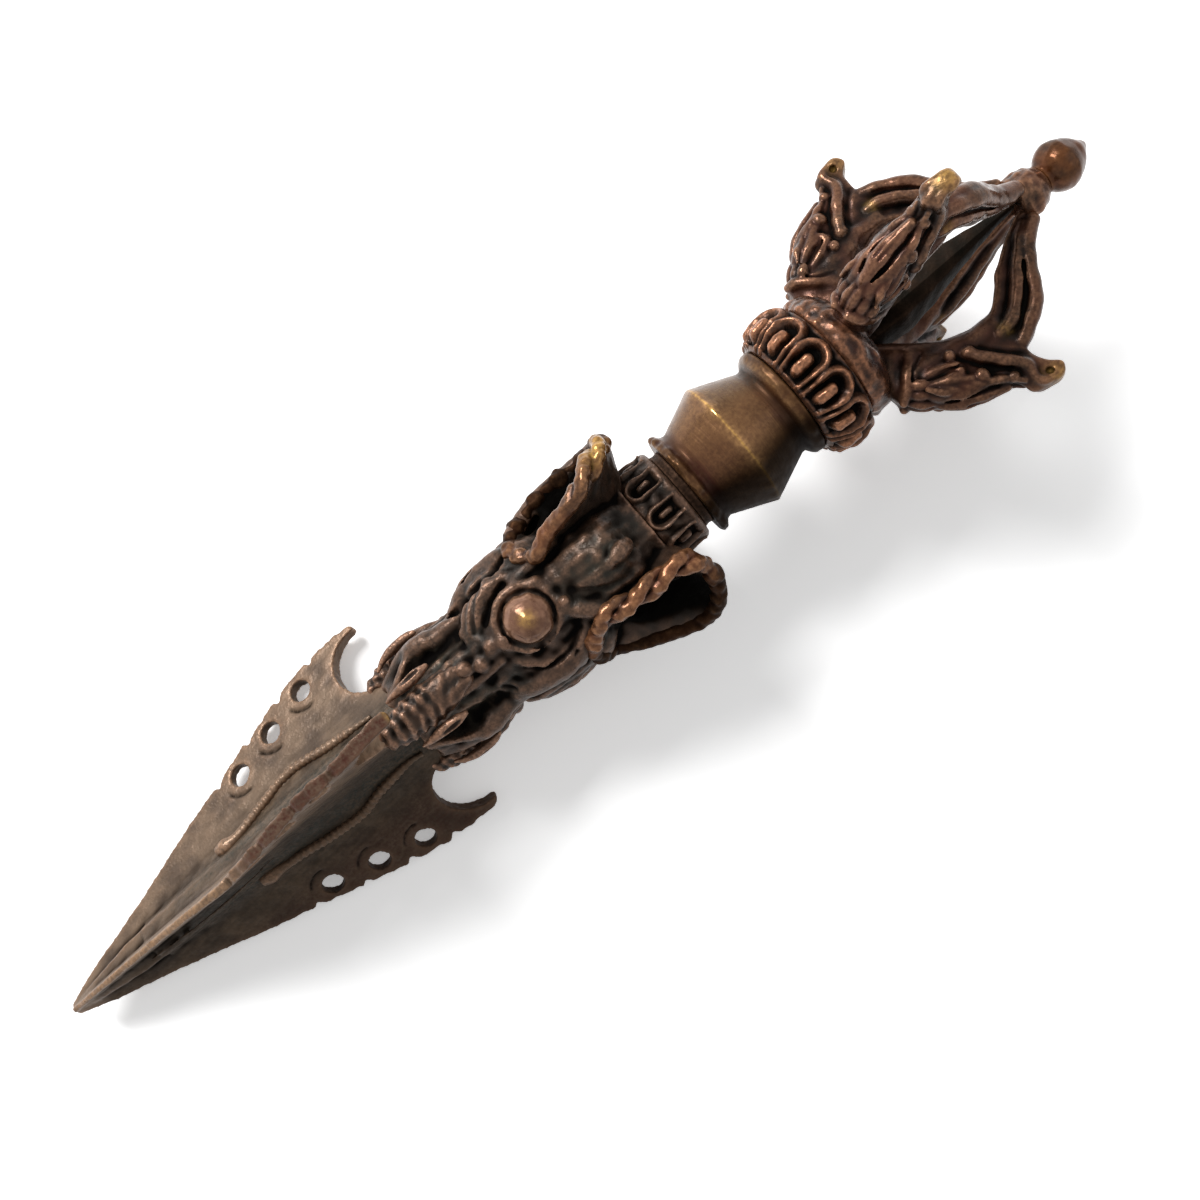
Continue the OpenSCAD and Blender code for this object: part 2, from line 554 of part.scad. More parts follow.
module core_rod() {
    color(GILT) translate([rod_start, 0, 0]) rotate([0, 90, 0]) cylinder(r = rod_r, h = rod_end - rod_start);
}

laid_down() blade();
laid_down() serpent(face_step, -1);  // serpent_1
laid_down() serpent(-face_step, 1);  // serpent_2
laid_down() serpent(face_step, 1);  // serpent_3
laid_down() core_rod();
laid_down() makara_head();
laid_down() trunk(0);  // trunk_1
laid_down() trunk(1);  // trunk_2
laid_down() trunk(2);  // trunk_3
laid_down() tusks();
laid_down() eye_stud(0);  // eye_stud_1
laid_down() eye_stud(1);  // eye_stud_2
laid_down() eye_stud(2);  // eye_stud_3
laid_down() twisted_loop(0);  // twisted_loop_1
laid_down() twisted_loop(1);  // twisted_loop_2
laid_down() twisted_loop(2);  // twisted_loop_3
laid_down() lotus_collar();
laid_down() neck_ring();
laid_down() grip();
laid_down() lotus_cup();
laid_down() crown_base();
laid_down() crown_makara(0);  // crown_makara_1
laid_down() crown_makara(1);  // crown_makara_2
laid_down() crown_makara(2);  // crown_makara_3
laid_down() crown_makara(3);  // crown_makara_4
laid_down() central_prong();
laid_down() top_collar();
laid_down() finial();
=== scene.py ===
import math

import bpy
import numpy as np
from mathutils import Matrix, Vector


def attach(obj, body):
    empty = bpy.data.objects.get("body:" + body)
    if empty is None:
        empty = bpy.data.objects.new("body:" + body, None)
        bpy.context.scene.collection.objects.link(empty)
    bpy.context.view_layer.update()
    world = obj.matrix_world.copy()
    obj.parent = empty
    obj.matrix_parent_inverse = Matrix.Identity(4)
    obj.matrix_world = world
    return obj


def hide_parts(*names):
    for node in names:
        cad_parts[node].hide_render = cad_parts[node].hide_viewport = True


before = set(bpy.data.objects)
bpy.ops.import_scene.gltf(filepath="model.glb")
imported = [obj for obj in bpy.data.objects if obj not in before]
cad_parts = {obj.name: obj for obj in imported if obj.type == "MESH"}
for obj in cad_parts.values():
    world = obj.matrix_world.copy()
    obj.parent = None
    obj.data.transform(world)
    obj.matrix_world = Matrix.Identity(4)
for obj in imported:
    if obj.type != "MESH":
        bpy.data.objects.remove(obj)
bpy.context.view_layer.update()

# The dagger is modelled in millimetres along its own axis: X from the blade's tip, roll
# angles from straight up towards +Y. These four values lay it down as the solids lie.
LIE_PITCH = math.radians(6.14)
LIE_ROLL = math.radians(-0.33)
LIE_HEIGHT = 4.5685
LIE_MIDDLE = 89.463
MILLIMETRE = 0.001
LIE_TURN = Matrix.Rotation(-LIE_PITCH, 4, "Y") @ Matrix.Rotation(LIE_ROLL, 4, "X")
LIE = Matrix.Scale(MILLIMETRE, 4) @ Matrix.Translation(Vector((-LIE_MIDDLE, 0, LIE_HEIGHT))) @ LIE_TURN
LAY = np.array(LIE)

# Where the pieces meet along the axis, and the hair's breadth between two turned ones.
X_ROOT = 62.6
X_EYE = 84.3
X_COLLAR = 103.7
X_NECK = 109.6
X_GRIP = 110.9
X_LOTUS = 128.6
X_DOME = 135.8
X_TOP = 167.8
X_FINIAL = 172.4
SEAM = 0.02
# The piercings, nicks and notch of a fin, and the turns of the faces and of the crown's makaras.
HOLES = [(37.2, 11.29), (44.1, 13.42), (51, 15.48)]
HOLE_R = 1.6
NICKS = [33.6, 40.5, 47.4, 54.2]
NOTCH_X, NOTCH_Z, NOTCH_R = 61.6, 12.5, 5.2
FACES = (0, 120, -120)
CROWN = (18, 108, 198, -72)
# The largest distance that clay keeps, and all of its grid.
FAR = 4
WHOLE = (slice(None),) * 3


def lay(points):
    return points @ LAY[:3, :3].T + LAY[:3, 3]


def turned(x, y, z, roll):
    """A point, or three rows of coordinates, turned about the axis."""
    a = math.radians(roll)
    return (x, y * math.cos(a) + z * math.sin(a), z * math.cos(a) - y * math.sin(a))


def polar(x, roll, r):
    return turned(x, 0, r, roll)


def bell(d, width):
    return np.exp(-((d / width) ** 2))


def step(v, low, high):
    t = np.clip((v - low) / (high - low), 0, 1)
    return t * t * (3 - 2 * t)


def off_face(a):
    m = np.mod(a, 120)
    return np.minimum(m, 120 - m)


def grain(p, size, seed, layers=7):
    """Smooth seeded noise between about -1 and 1, with bumps about size across."""
    rng = np.random.default_rng(seed)
    total = np.zeros(p.shape[:-1])
    for _ in range(layers):
        way = rng.normal(size=3)
        way *= math.tau / size / np.linalg.norm(way) * rng.uniform(0.6, 1.3)
        total += np.sin(p @ way + rng.uniform(0, math.tau))
    return total / math.sqrt(layers)


def spline(points, per=5, closed=False):
    """A smooth curve through the points; further columns, such as a radius, come along."""
    p = np.array(points, float)
    ends = (p[-1], p[:2]) if closed else (2 * p[0] - p[1], 2 * p[-1] - p[-2])
    q = np.vstack([ends[0], p, ends[1]])
    t = np.linspace(0, 1, per, endpoint=False)[:, None]
    out = [0.5 * (2 * b + (c - a) * t + (2 * a - 5 * b + 4 * c - d) * t**2 + (3 * b - a - 3 * c + d) * t**3)
           for a, b, c, d in zip(q, q[1:], q[2:], q[3:])]
    if not closed:
        out.append(p[-1:])
    return np.vstack(out)


def blend(a, b, soft):
    """The lower of two distances, rounded over where they meet."""
    h = np.maximum(soft - np.abs(a - b), 0) / soft
    return np.minimum(a, b) - h * h * soft / 4


class Clay:
    """A block of sculpting clay: a grid of distances to the surface, in millimetres."""

    def __init__(self, low, high, pitch):
        pitch = pitch
        self.pitch = pitch
        self.axes = [np.arange(a, b + pitch, pitch, dtype=np.float32) for a, b in zip(low, high)]
        self.field = np.full([len(a) for a in self.axes], FAR, np.float32)

    def window(self, low, high):
        cut = []
        for axis, a, b in zip(self.axes, low, high):
            first = int(np.searchsorted(axis, a))
            cut.append(slice(first, max(first, int(np.searchsorted(axis, b)))))
        return tuple(cut)

    def grid(self, cut=WHOLE):
        x, y, z = (a[c] for a, c in zip(self.axes, cut))
        return x[:, None, None], y[None, :, None], z[None, None, :]

    def points(self):
        return np.stack(np.broadcast_arrays(*self.grid()), -1)

    def join(self, cut, d, soft, dig=False):
        way = -1 if dig else 1
        self.field[cut] = way * blend(way * self.field[cut], d, soft)

    def roughen(self, height, size, seed, layers=7, stretch=(1, 1, 1)):
        """Seeded bumps all over the surface."""
        bumps = height * grain(self.points() * np.array(stretch), size, seed, layers)
        self.field = (self.field + bumps).astype(np.float32)

    def strand(self, points, soft=0.3, dig=False, per=4, closed=False):
        """Lays a round strand through (x, y, z, radius) points, or carves it out."""
        path = spline(points, per, closed)
        if closed:
            path = np.vstack([path, path[:1]])
        edge = path[:, 3:4] + soft + 2 * self.pitch
        cut = self.window((path[:, :3] - edge).min(0), (path[:, :3] + edge).max(0))
        near = np.full(self.field[cut].shape, FAR, np.float32)
        if near.size == 0:
            return
        for a, b, e in zip(path[:-1], path[1:], edge[:-1]):
            e = e + abs(b[3] - a[3])
            part = self.window(np.minimum(a[:3], b[:3]) - e, np.maximum(a[:3], b[:3]) + e)
            part = tuple(slice(max(p.start, c.start), max(c.start, min(p.stop, c.stop)))
                         for p, c in zip(part, cut))
            inner = tuple(slice(p.start - c.start, p.stop - c.start) for p, c in zip(part, cut))
            if near[inner].size == 0:
                continue
            x, y, z = self.grid(part)
            way = (b - a)[:3].astype(np.float32)
            length = float(way @ way) + 1e-9
            x, y, z = x - a[0], y - a[1], z - a[2]
            t = np.clip((x * way[0] + y * way[1] + z * way[2]) / length, 0, 1)
            d = np.sqrt((x - t * way[0])**2 + (y - t * way[1])**2 + (z - t * way[2])**2)
            near[inner] = np.minimum(near[inner], d - a[3] - t * (b[3] - a[3]))
        self.join(cut, near, soft, dig)

    def ball(self, centre, radii, soft=0.3, dig=False, turn=None):
        """An ellipsoid; turn holds its three axes as rows."""
        radii = np.array(radii if np.ndim(radii) else (radii,) * 3, float)
        reach = radii.max() + soft + 2 * self.pitch
        centre = np.array(centre, float)
        cut = self.window(centre - reach, centre + reach)
        if self.field[cut].size == 0:
            return
        p = [g - c for g, c in zip(self.grid(cut), centre)]
        turn = np.eye(3) if turn is None else turn
        q = [sum(p[j] * turn[i][j] for j in range(3)) / radii[i] for i in range(3)]
        k = np.sqrt(q[0]**2 + q[1]**2 + q[2]**2) + 1e-6
        g = np.sqrt(sum((q[i] / radii[i])**2 for i in range(3))) + 1e-6
        self.join(cut, (k * (k - 1) / g).astype(np.float32), soft, dig)

    def slab(self, outline, half, edge):
        """A plate across Y from a closed outline of (x, z) points, half(x, z) thick to each
        side, with its rims rounded by edge(x)."""
        x, y, z = self.grid()
        gx, gz = x[:, 0], z[0]
        away = np.full((len(gx), gz.shape[1]), 9)
        inside = np.zeros(away.shape, bool)
        for (ax, az), (bx, bz) in zip(outline, np.roll(outline, -1, 0)):
            wx, wz = bx - ax, bz - az
            t = np.clip(((gx - ax) * wx + (gz - az) * wz) / (wx * wx + wz * wz + 1e-9), 0, 1)
            away = np.minimum(away, np.hypot(gx - ax - t * wx, gz - az - t * wz))
            if az != bz:
                inside ^= ((az > gz) != (bz > gz)) & (gx < ax + (gz - az) * wx / wz)
        flat = np.where(inside, -away, away)[:, None, :]
        q = edge(x)
        a = flat + q
        b = np.abs(y) - half(x, z) + q
        d = np.hypot(np.maximum(a, 0), np.maximum(b, 0)) + np.minimum(np.maximum(a, b), 0) - q
        self.join(WHOLE, d.astype(np.float32), 0.3)

    def skin(self):
        """The zero surface as points and four-sided faces."""
        f = self.field
        inside = f < 0
        n = np.array(f.shape)
        unit = np.eye(3, dtype=int)
        corners = [(i, j, k) for i in (0, 1) for j in (0, 1) for k in (0, 1)]
        count = np.zeros(n - 1, np.int8)
        for i, j, k in corners:
            count += inside[i:n[0] - 1 + i, j:n[1] - 1 + j, k:n[2] - 1 + k]
        cells = np.argwhere((count > 0) & (count < 8))
        number = np.full(n - 1, -1, np.int32)
        number[tuple(cells.T)] = np.arange(len(cells))
        value = {c: f[tuple((cells + c).T)] for c in corners}
        total = np.zeros((len(cells), 3))
        hits = np.zeros((len(cells), 1))
        for c in corners:
            for way in unit[np.array(c) == 0]:
                a, b = value[c], value[tuple(c + way)]
                crosses = (a < 0) != (b < 0)
                t = np.where(crosses, a / np.where(crosses, a - b, 1), 0)
                total += (c + t[:, None] * way) * crosses[:, None]
                hits += crosses[:, None]
        points = np.array([a[0] for a in self.axes]) + (cells + total / hits) * self.pitch
        quads = []
        for axis in range(3):
            u, v = (axis + 1) % 3, (axis + 2) % 3
            edges = np.argwhere(np.diff(inside, axis=axis))
            cross = edges[:, [u, v]]
            edges = edges[((cross > 0) & (cross < n[[u, v]] - 1)).all(1)]
            ring = np.stack([number[tuple((edges - i * unit[u] - j * unit[v]).T)]
                             for i, j in ((1, 1), (0, 1), (0, 0), (1, 0))], 1)
            out = inside[tuple(edges.T)]
            quads.append(np.where(out[:, None], ring, ring[:, ::-1]))
        return points, np.vstack(quads)


def links(quads):
    e = np.vstack([quads[:, [i, (i + 1) % 4]] for i in range(4)])
    e = np.sort(e[e[:, 0] != e[:, 1]], axis=1)
    return np.unique(e, axis=0)


def relaxed(points, pairs, rounds, share=0.5):
    """Points drawn towards the middle of their neighbours."""
    a, b = pairs[:, 0], pairs[:, 1]
    n = len(points)
    degree = np.maximum(np.bincount(a, minlength=n) + np.bincount(b, minlength=n), 1)
    p = points.copy()
    for _ in range(rounds):
        mean = np.stack([np.bincount(a, p[b, i], n) + np.bincount(b, p[a, i], n)
                         for i in range(3)], 1) / degree[:, None]
        p += (mean - p) * share
    return p


def normals(points, quads):
    cross = np.cross(points[quads[:, 2]] - points[quads[:, 0]],
                     points[quads[:, 3]] - points[quads[:, 1]])
    out = np.zeros_like(points)
    for i in range(4):
        for axis in range(3):
            out[:, axis] += np.bincount(quads[:, i], cross[:, axis], len(points))
    return out / np.maximum(np.linalg.norm(out, axis=1), 1e-9)[:, None]


def tube(path, radii, up, sides, flat):
    """A swept skin with elliptical rings, whose height is flat times their width."""
    way = np.gradient(path, axis=0)
    way /= np.linalg.norm(way, axis=1)[:, None]
    side = np.cross(np.broadcast_to(up, path.shape), way)
    side /= np.linalg.norm(side, axis=1)[:, None]
    top = np.cross(way, side)
    a = np.linspace(0, math.tau, sides, endpoint=False)[None]
    across = np.sin(a) * radii[:, None]
    upward = np.cos(a) * (radii * flat)[:, None]
    return rings_skin(path[:, None] + across[..., None] * side[:, None] + upward[..., None] * top[:, None])


def rings_skin(rings):
    """A closed skin over rings of points, ends drawn together in a point."""
    m, n = rings.shape[:2]
    points = np.vstack([rings.reshape(-1, 3), rings[0].mean(0), rings[-1].mean(0)])
    i, j = np.meshgrid(np.arange(m - 1) * n, np.arange(n), indexing="ij")
    k = (j + 1) % n
    sides = np.stack([i + j, i + k, i + n + k, i + n + j], -1).reshape(-1, 4)
    j, k = j[0], k[0]
    start, end = np.full(n, m * n), np.full(n, m * n + 1)
    first = np.stack([k, j, start, start], 1)
    last = np.stack([(m - 1) * n + j, (m - 1) * n + k, end, end], 1)
    return points, np.vstack([sides, first, last])


def wrapped(x, a, r):
    a = np.radians(a)
    return np.stack([x, r * np.sin(a), r * np.cos(a)], -1)


def lathe(profile, around, relief=None, pitch=0.2, rounding=1):
    """A turned skin from (x, r) points, with relief(x, roll, r) added to its radius."""
    around = around
    p = np.array(profile, float)
    rows = [p[:1]]
    for a, b in zip(p[:-1], p[1:]):
        k = max(1, int(np.linalg.norm(b - a) / pitch))
        rows.append(a + (b - a) * np.linspace(0, 1, k + 1)[1:, None])
    line = np.vstack(rows)
    for _ in range(rounding):
        line[1:-1] = (line[:-2] + 2 * line[1:-1] + line[2:]) / 4
    roll = np.linspace(0, 360, around, endpoint=False)
    x = np.repeat(line[:, :1], around, 1)
    r = np.repeat(line[:, 1:], around, 1)
    a = np.repeat(roll[None], len(line), 0)
    if relief:
        r = r + relief(x, a, r)
    return rings_skin(wrapped(x, a, r))


def together(parts):
    points, quads = zip(*parts)
    base = np.cumsum([0] + [len(p) for p in points])
    return np.vstack(points), np.vstack([q + b for q, b in zip(quads, base)])


def turned_by(part, roll):
    points, quads = part
    return np.stack(turned(*points.T, roll), 1), quads


FIN_LINE = [
    (0, 0.9), (1.1, 1.25), (3.6, 2.4), (6.2, 3.35), (12.8, 5.4), (19.4, 7.75), (26, 10.3), (33, 12.5),
    (39.7, 15), (46.7, 17.1), (50.8, 18.2), (53.7, 18.7), (59, 19.1), (62, 18.9), (64, 18.3)
]
HEAD_LINE = [
    (62.6, 6.05), (65.9, 6.95), (70, 7.6), (74.9, 7.15), (79.9, 8.5), (85.2, 9.1), (89.7, 8.9),
    (94.7, 9.5), (98.8, 9.5), (101.6, 8.5), (103.7, 7)
]


def along(line, x):
    p = np.array(line, float)
    return np.interp(x, p[:, 0], p[:, 1])


def fin_r(x):
    return along(FIN_LINE, x)


def flank(x, r):
    """Half thickness of a fin at distance r from the axis."""
    share = np.clip(x / X_ROOT, 0, 1)
    f = fin_r(x)
    half = np.minimum(0.95 * (0.5 + 0.5 * share), 0.4 * f)
    v = np.minimum(3.4 * (0.7 + 0.3 * share), 0.5 * f)
    near, mid = v / 2, 0.45 * f
    inner = v * 0.87
    t = np.clip((r - near) / (mid - near), 0, 1)
    u = np.clip((r - mid) / (f - mid), 0, 1)
    return np.where(r < mid, inner + (half * 1.3 - inner) * (1 - (1 - t)**1.6), half * (1.3 - 0.3 * u))


def fin_lean(x):
    return np.radians(np.interp(x, [0, 18, 32, 40, 47, 56, 65], [0, -1.5, -3.5, 0, 3, 3.5, 6.5]))


def blade_piece():
    clay = Clay((-0.6, -18.5, -11.5), (66.4, 18.5, 20.4), 0.25)
    x, y, z = clay.grid()
    for k, roll in enumerate(FACES):
        front = k == 0
        _, u, r = turned(x, y, z, -roll)
        if front:
            u = u - np.maximum(r, 0) * np.tan(fin_lean(x))
        end = 64.6 if front else 62.4
        edge = fin_r(x)
        nicks = sum(0.75 * bell(x - n, 0.55) for n in NICKS)
        along_x = (x + 0 * r)[..., None] * np.array([1, 0, 0])
        chips = 0.2 * np.maximum(0, grain(along_x, 1.9, 5 + k)) * step(x, 34, 40)
        half = flank(x, r)
        away = [np.hypot(x - hx, r - hr) for hx, hr in HOLES]
        crescent = sum(bell(d - 3.1, 0.2) * step(hr - 0.8 - r, 0, 1) * step(hx + 1.2 - x, 0, 1)
                       for d, (hx, hr) in zip(away, HOLES))
        half = half - 0.35 * crescent - 0.3 * half * bell(edge - r, 1.6) * step(36 - x, 0, 10) * front
        if front:
            burr = 0.1 * grain(along_x, 2.3, 12) * bell(edge - r, 0.9)
            half = half - 0.35 * bell(edge - r - 1.5, 0.7) * step(x, 36, 42) + burr * step(x, 36, 40)
        d = np.maximum(np.abs(u) - half, (r - edge + nicks + chips) * 0.93)
        d = np.maximum(d, -r - 0.5)
        d = np.maximum(d, HOLE_R - np.minimum.reduce(away))
        hollow = NOTCH_R - np.hypot(x - NOTCH_X, r - NOTCH_Z)
        d = np.maximum(d, np.where(r > 0, hollow, -9))
        d = np.where(r > NOTCH_Z, -blend(-d, end - x, 0.9), np.maximum(d, x - 62.9))
        clay.join(WHOLE, d, np.where(x > 15, 1.1, 0.4))
    clay.field = np.maximum(clay.field, 0.05 - x).astype(np.float32)
    clay.roughen(0.035, 1.1, 14, 9, (0.35, 1, 1))
    clay.strand([(14, -1.7, 2, 0.14), (24, -2.3, 3, 0.2), (32, -2.3, 4.6, 0.2), (38, -1.9, 6.4, 0.12)], 0.2)
    return clay.skin()


def head_r(x, a):
    d = off_face(a)
    t = (x - X_ROOT) / 41.1
    brow = 0.45 * bell(x - X_EYE + 1, 6) * bell(d, 30)
    crest = 0.9 * bell(t - 0.8, 0.13) * bell(d, 34)
    muzzle = 0.7 * bell(t - 0.16, 0.16) * bell(d, 18)
    hollow = 1.1 * bell(t - 0.8, 0.16) * bell(off_face(a - 58), 20)
    whole = along(HEAD_LINE, x) + 2.4 * (brow + crest + muzzle - hollow)
    return whole + (7.3 - whole) * step(x, 98.5, 103.6)


def hug(points, roll):
    """(x, roll, lift, radius) points over the head's skin, as (x, y, z, radius)."""
    return [(*polar(x, a + roll, head_r(x, a) + lift), radius) for x, a, lift, radius in points]


HEAD_FOLDS = [
    # flame lock beside the eye, and its outer rim
    [(76.7, 16, 0, 0.7), (78.4, 28, 0.3, 1.2), (81, 39, 0.5, 1.5), (83.8, 42, 0.5, 1.4), (86, 37, 0.2, 0.9)],
    [(76.3, 20, 0.4, 0.45), (77.6, 36, 0.9, 0.55), (80.4, 50, 1.1, 0.6), (83.4, 52, 1.2, 0.55),
     (86.2, 44, 0.9, 0.5), (88, 36, 0.6, 0.45)],
    # brow, and the fold outside it
    [(84, 25, -0.1, 0.6), (87.4, 31, 0.3, 0.8), (90, 32, 0.7, 0.95), (92.6, 32, 1.4, 1.1)],
    [(86.9, 46, 0.4, 0.5), (88.9, 56, 0.8, 0.6), (91.3, 60, 1.1, 0.6), (93.3, 52, 1.3, 0.6),
     (95, 44, 1.3, 0.5)],
    # knot behind the eye
    [(88.4, -12, 0.1, 0.9), (90.2, -20, 0.5, 1.2), (92.1, -30, 0.7, 1.3), (94.2, -37, 0.9, 1.4)],
    # lower lid and the curled strand outside it
    [(90.2, -31, 0.4, 0.7), (88.6, -39, 0.6, 0.9), (86.4, -44, 0.6, 1), (83.8, -44, 0.5, 1),
     (81.6, -37, 0.3, 0.8), (80.1, -26, 0, 0.5)],
    [(94.6, -48, 1, 1), (93.2, -57, 1.2, 1.1), (91.2, -66, 1.1, 1.1), (88.4, -70, 0.9, 1.1),
     (85.6, -66, 0.7, 0.9), (84, -58, 0.4, 0.6)],
    # gill
    [(77, -46, 0, 0.8), (78.8, -56, 0.4, 1.1), (81.6, -60, 0.6, 1.2), (84.4, -56, 0.6, 1.1),
     (87.4, -44, 0.4, 0.7)],
    # lips and jaw
    [(62.9, -44, -0.3, 0.8), (65.6, -47, 0.1, 1), (68, -54, 0.5, 1.2), (70.4, -64, 0.7, 1.3),
     (72.6, -68, 0.5, 1.2), (75, -62, 0.2, 0.9)],
    [(62.9, 35, -0.2, 0.7), (65.2, 41, 0.2, 0.9), (67.8, 50, 0.5, 1), (70.4, 58, 0.7, 1),
     (73.2, 57, 0.5, 0.9), (75.6, 54, 0.4, 0.9), (78.6, 60, 0.5, 0.8)],
    # hair between two faces
    [(76.5, 64, 0.2, 1), (80, 68, 0.6, 1.4), (84, 66, 0.8, 1.4), (88, 66, 0.8, 1.2), (92.5, 72, 0.6, 0.9)],
    # bridge of the nose and folds beside the muzzle
    [(77, -1, 0, 0.8), (79.5, 0, 0, 0.8), (81, 1, -0.3, 0.8)],
    [(71, 11, -0.1, 0.6), (73.4, 13, 0.1, 0.7), (75.8, 10, 0, 0.6), (79, 11, -0.1, 0.5)],
    [(71.2, -12, -0.1, 0.55), (74.2, -14, 0.1, 0.65), (78, -13, 0, 0.5)]
]
HEAD_CUTS = [
    [(75.6, -38, 0.3, 0.4), (77.6, -50, 0.9, 0.4), (80.6, -54, 1.5, 0.35), (83.4, -52, 1.6, 0.35),
     (86.2, -46, 1.3, 0.35)],
    [(76.2, -62, 0.6, 0.5), (79, -71, 1.2, 0.6), (84, -73, 1.5, 0.65), (88, -58, 1, 0.5)],
    [(79.6, -32, 0.4, 0.4), (81.8, -42, 0.9, 0.45), (85.4, -41, 0.9, 0.45), (88.4, -32, 0.7, 0.4)],
    [(77.6, 20, 0.9, 0.35), (79.6, 35, 1.7, 0.36), (82, 43, 1.9, 0.36), (84.6, 41, 1.6, 0.3)],
    [(79.6, 20, 0.2, 0.45), (82, 28, 0.5, 0.5), (84.4, 33, 0.5, 0.45)],
    [(90.6, -3, 0.2, 0.35), (92.8, -14, 0.3, 0.45), (95.6, -22, 0.4, 0.5), (98, -25, 0.4, 0.4)],
    [(88, 24, 0.3, 0.4), (91, 24, 0.3, 0.5), (94, 23, 0.4, 0.6), (97, 22, 0.5, 0.5)],
    [(64.6, -33, 0.7, 1.1), (68, -38, 0.9, 1.7), (71.5, -44, 0.9, 1.7), (74.2, -44, 0.6, 1)],
    [(65, 28, 0.8, 0.9), (68.5, 36, 0.9, 1.5), (72.5, 38, 0.8, 1.3), (75.6, 34, 0.5, 0.8)],
    [(88.6, -50, 0.9, 0.6), (91, -50, 1, 0.9), (93, -44, 1, 0.7)]
]
HEAD_BUMPS = [
    (73.6, 2, 0.3, 1.15), (75.7, -4, 0.3, 1.05), (78.3, 3, 0.2, 0.9), (80, -3, 0.1, 0.75),
    (72.4, 14, 0.2, 0.6), (89.3, -8, 0.5, 0.75), (88.2, 18, 0.1, 0.6), (76.4, 30, 0.2, 0.7),
    (83, -76, 0.9, 0.9)
]


def head_piece():
    clay = Clay((61.9, -16.2, -16.2), (107.2, 16.2, 16.2), 0.215)
    x, y, z = clay.grid()
    p = clay.points()
    base = (np.hypot(y, z) - head_r(x, np.degrees(np.arctan2(y, z)))) * 0.9
    base = base + 0.12 * grain(p, 3.1, 3) + 0.08 * grain(p, 1.7, 4)
    base = np.maximum(base, np.maximum(X_ROOT + 0.3 - x, x - X_COLLAR))
    clay.field = np.minimum(base, FAR).astype(np.float32)
    for roll in FACES:
        for fold in HEAD_FOLDS:
            soft = 1 if max(row[3] for row in fold) > 0.65 else 0.45
            clay.strand(hug([(s, t, lift - 0.15, size) for s, t, lift, size in fold], roll), soft)
        cup(clay, roll, THIRD_LOOP if roll == -120 else LOOP_PATH)
        for cut in HEAD_CUTS:
            clay.strand(hug(cut, roll), 0.4, dig=True)
        for *centre, size in hug(HEAD_BUMPS, roll):
            clay.ball(centre, size, 0.6)
        leaf = [(95, -7, -0.6, 0.4), (97.2, -7, -0.2, 0.9), (98.8, -6, 0, 1.2), (99.8, -6, 0, 1)]
        clay.strand(hug(leaf, roll), 0.5)
        lid = eye_ring(roll, 4.25, 9.4)
        thick = [0.3 + 0.28 * math.cos(math.tau * (i - 4) / len(lid)) for i in range(len(lid))]
        clay.strand([(*c, t) for c, t in zip(lid, thick)], 1.2, closed=True)
        clay.strand([(*c, 0.3) for c in eye_ring(roll, 3.55, 9.9)], 0.25, dig=True, closed=True)
    clay.roughen(0.04, 2, 44)
    return clay.skin()


def eye_ring(roll, radius, height):
    turns = np.linspace(0, math.tau, 14, endpoint=False)
    return [turned(X_EYE + radius * math.cos(t), radius * math.sin(t), height, roll) for t in turns]


# The turns of a loop's strands, and the rims of the ears as (x, roll, distance from the axis).
TWISTS = 4.5
LOOP_PATH = [
    (90, 31, 10.6), (93, 32, 12.2), (96.3, 31, 13.6), (99.6, 32, 14.8), (102.5, 37, 15.2),
    (104.6, 45, 14.6), (105.8, 56, 13.2), (105.8, 68, 12.1), (104.4, 78, 11.6), (101.5, 82, 11.5),
    (98.2, 82, 11.6), (95, 81, 11.5), (91.8, 77, 10.9), (89, 66, 10.4), (88, 50, 10.2)
]
THIRD_LOOP = LOOP_PATH[:10] + [
    (98.4, 83, 11.8), (95.3, 85, 11.9), (92.3, 86, 11.4), (89.4, 77, 10.6), (87.6, 60, 10.2),
    (88.2, 44, 10.3)
]


def loop_piece(line, twisted):
    """One ring; twisted(share) says where its two strands stand apart, the rest is a lumpy rim."""
    clay = Clay((85.8, 1, -1.5), (110, 16.5, 16.5), 0.16)
    middle = spline([polar(*p) for p in line], 10, closed=True)
    n = len(middle)
    way = np.roll(middle, -1, 0) - np.roll(middle, 1, 0)
    way /= np.linalg.norm(way, axis=1)[:, None]
    up = np.array(polar(0, 57, 1))
    side = np.cross(way, up)
    side /= np.linalg.norm(side, axis=1)[:, None]
    top = np.cross(side, way)
    share = np.arange(n) / n
    apart = twisted(share)
    turns = share * math.tau
    lumps = (1 - apart) * (0.16 * np.sin(11 * turns) + 0.12 * np.sin(23 * turns + 1))
    size = 0.95 + 0.15 * (1 - apart) + lumps * step(share, 0.3, 0.4)
    for phase in (0.5, math.pi + 0.5):
        t = TWISTS * turns + phase
        path = middle + (side * np.cos(t)[:, None] + top * np.sin(t)[:, None]) * (0.72 * apart)[:, None]
        clay.strand(np.hstack([path, size[:, None]]), 0.12, per=1)
    clay.roughen(0.09, 1.6, 17)
    return clay.skin()


def mirrored(points, s):
    """(x, y, z, radius) points on the side s, which is 1 or -1."""
    return [(x, s * y, z, radius) for x, y, z, radius in points]


